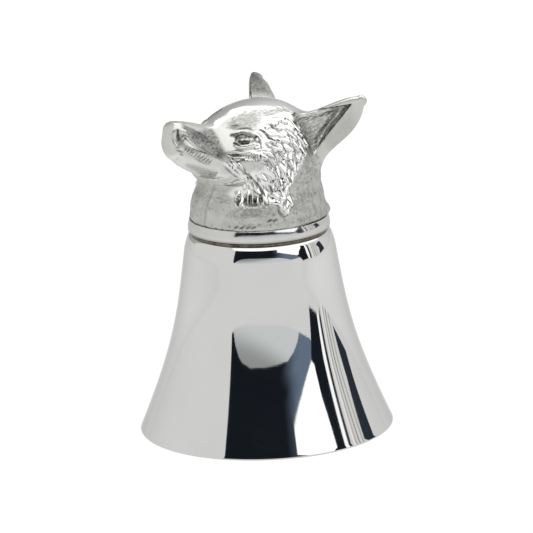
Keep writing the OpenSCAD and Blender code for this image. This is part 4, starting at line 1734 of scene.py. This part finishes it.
def card(name, outline, strength, nearer=0.0, colour=WHITE, fade=None):
    """A curved card round the cup, whose corners are [degrees right of the camera, degrees above level]."""
    flat = bmesh.new()
    corners = [flat.verts.new((right, above, 0)) for right, above in outline]
    for tri in geometry.tessellate_polygon([[v.co for v in corners]]):
        flat.faces.new([corners[i] for i in tri])
    bmesh.ops.subdivide_edges(flat, edges=flat.edges[:], cuts=CARD_CUTS, use_grid_fill=True)
    centre = Vector((0, 0, CARD_CENTRE_Z))
    points = [centre + (CARD_DISTANCE - nearer) * direction(v.co.x, v.co.y) for v in flat.verts]
    faces = [[v.index for v in f.verts] for f in flat.faces]
    shares = [fade(v.co.x, v.co.y) for v in flat.verts] if fade else []
    flat.free()
    sheet = stage_mesh(name, points, faces, glowing(name, colour, strength, bool(fade)))
    if fade:
        sheet.data.attributes.new("glow", "FLOAT", "POINT").data.foreach_set("value", shares)
    sheet.visible_camera = False
    sheet.visible_diffuse = False
    sheet.visible_shadow = False


def wall_haze(right, above):
    """The dark wall's glow, with a haze towards the window."""
    return mix(HAZE_LEAST, 1.0, float(smoothstep(*HAZE_SPAN, right)))


def reflector_shade(right, above):
    """The front reflector's glow, which falls off upwards and to the left."""
    return mix(1.0, REFLECTOR_LEAST, float(smoothstep(*REFLECTOR_SPAN, above - REFLECTOR_SLANT * right)))


def back_shade(right, above):
    """The back wall's glow, which falls off to the left."""
    return mix(1.0, BACK_LEAST, float(smoothstep(*BACK_SPAN, right)))


def make_front_cards():
    """The dark wall, the pale reflector in front of it, the window and the door."""
    slant = [(27.5, 25.2), (40, 20.6), (50, 16.2), (58, 12.6)]
    wall = [(-41, 7.2), (-41, 31), (28, 31)] + slant + [(62, 7.8), (47, 7.4)]
    card("dark_wall", wall, strength=0.26, colour=DARK_BLUE, fade=wall_haze)
    low = [(47, 7.2), (30, 6.8), (0, 6.9), (-28, 6.4), (-39, 6.8)]
    rise = [(-36, 10.4), (-31, 13.6), (-27, 15.1), (-17, 16.8)]
    fall = [(0, 17.1), (15, 16.4), (28, 15.2), (37, 12.4), (43, 9.8)]
    reflector = low + rise + fall
    card("front_reflector", reflector, strength=0.92, nearer=0.1, colour=COOL_WHITE, fade=reflector_shade)
    jamb = [(61, 13), (63, 18), (68, 21.5), (70, 31)]
    card("window", slant + jamb + [(28, 31)], strength=1.75, nearer=0.1)
    door = [(66, 1.6), (62, 7.8), (58, 12.6)] + jamb + [(76, 31), (75, 10), (77, 1.6)]
    card("door", door, strength=0.018, nearer=0.15, colour=DARK_BLUE)


def make_side_cards():
    """The bright and dark edges, the stripes and the dark patch at the right."""
    bright = [(77, 1.6), (75.5, 10), (76.5, 31), (79, 31), (79, 10), (79.5, 1.6)]
    card("bright_edge", bright, strength=1.6, nearer=0.15)
    dark = [(80, 2), (79.5, 10), (79.5, 31), (81.5, 31), (82.5, 10), (83, 0)]
    card("dark_edge", dark, strength=0.045, nearer=0.15, colour=DARK_BLUE)
    for right, wide, strength in STRIPES:
        foot = [(right + 2, -4), (right, 8), (right + 1.5, 31)]
        stripe = foot + [(a + wide, b) for a, b in foot[::-1]]
        card("stripe", stripe, strength=strength, nearer=0.15, colour=WARM_WHITE)
    far = [(101, 0.5), (102, 8), (98, 13), (108, 15), (114, 2)]
    card("far_dark", far, strength=0.045, nearer=0.15, colour=DARK_BLUE)


def make_back_card():
    back = [(125, 6), (125, 37), (150, 50), (180, 52), (210, 50), (235, 37), (235, 6), (180, 6)]
    card("back_wall", back, strength=0.95, fade=back_shade)


def make_ceiling():
    """One broad soft light overhead, whose corners lie [right, front] of the cup in ceiling heights."""
    front_edge = [(-1.09, 1.26), (0, 1.66), (0.78, 1.47), (1.25, 1.25), (1.7, 0)]
    rear_edge = [(1.25, -1.75), (0.09, -0.865), (-0.36, -1.2), (-0.26, -0.37)]
    corners = front_edge + rear_edge
    right, front = direction(90, 0), direction(0, 0)
    top = Vector((0, 0, CEILING_HEIGHT + CARD_CENTRE_Z))
    points = [top + CEILING_HEIGHT * (a * right + b * front) for a, b in corners]
    light = glowing("ceiling", CEILING_WHITE, CEILING_LIGHT)
    sheet = stage_mesh("ceiling", points, [list(range(len(corners)))], light)
    sheet.visible_camera = False


def seen_directly(nodes, links):
    """One for rays from the camera, off metal or through glass, and zero for the rest."""
    path = nodes.new("ShaderNodeLightPath")
    value = path.outputs["Is Camera Ray"]
    for kind in ("Is Glossy Ray", "Is Transmission Ray"):
        either = nodes.new("ShaderNodeMath")
        either.operation = "MAXIMUM"
        links.new(value, either.inputs[0])
        links.new(path.outputs[kind], either.inputs[1])
        value = either.outputs[0]
    return value


def pick_shader(nodes, links, unseen, seen, output):
    """Sends one shader to the output for rays that see it directly, and another for the rest."""
    pick = nodes.new("ShaderNodeMixShader")
    links.new(seen_directly(nodes, links), pick.inputs[0])
    links.new(unseen.outputs[0], pick.inputs[1])
    links.new(seen.outputs[0], pick.inputs[2])
    links.new(pick.outputs[0], nodes.new(output).inputs[0])


def make_floor():
    """A pale floor that is white to the camera and in the metal, and keeps a soft shadow."""
    material, nodes, links = new_material("floor")
    nodes.clear()
    pale = plain_shader(nodes, "ShaderNodeBsdfDiffuse", FLOOR_PALE)
    faint = plain_shader(nodes, "ShaderNodeBsdfDiffuse", FLOOR_FAINT)
    glow = plain_shader(nodes, "ShaderNodeEmission", WHITE, FLOOR_GLOW)
    white = nodes.new("ShaderNodeAddShader")
    links.new(faint.outputs[0], white.inputs[0])
    links.new(glow.outputs[0], white.inputs[1])
    pick_shader(nodes, links, pale, white, "ShaderNodeOutputMaterial")
    signs = ((-1, -1), (1, -1), (1, 1), (-1, 1))
    corners = [(a * FLOOR_SIZE, b * FLOOR_SIZE, 0) for a, b in signs]
    stage_mesh("floor", corners, [(0, 1, 2, 3)], material)


def make_world():
    """A pale room, white to the camera and in the metal."""
    world = bpy.data.worlds.new("studio")
    bpy.context.scene.world = world
    world.use_nodes = True
    nodes = world.node_tree.nodes
    links = world.node_tree.links
    nodes.clear()
    room = plain_shader(nodes, "ShaderNodeBackground", WHITE, ROOM_LIGHT)
    white = plain_shader(nodes, "ShaderNodeBackground", WHITE, 1.0)
    pick_shader(nodes, links, room, white, "ShaderNodeOutputWorld")


make_camera()
make_floor()
make_front_cards()
make_side_cards()
make_back_card()
make_ceiling()
make_world()
bpy.context.scene.view_settings.view_transform = "Standard"
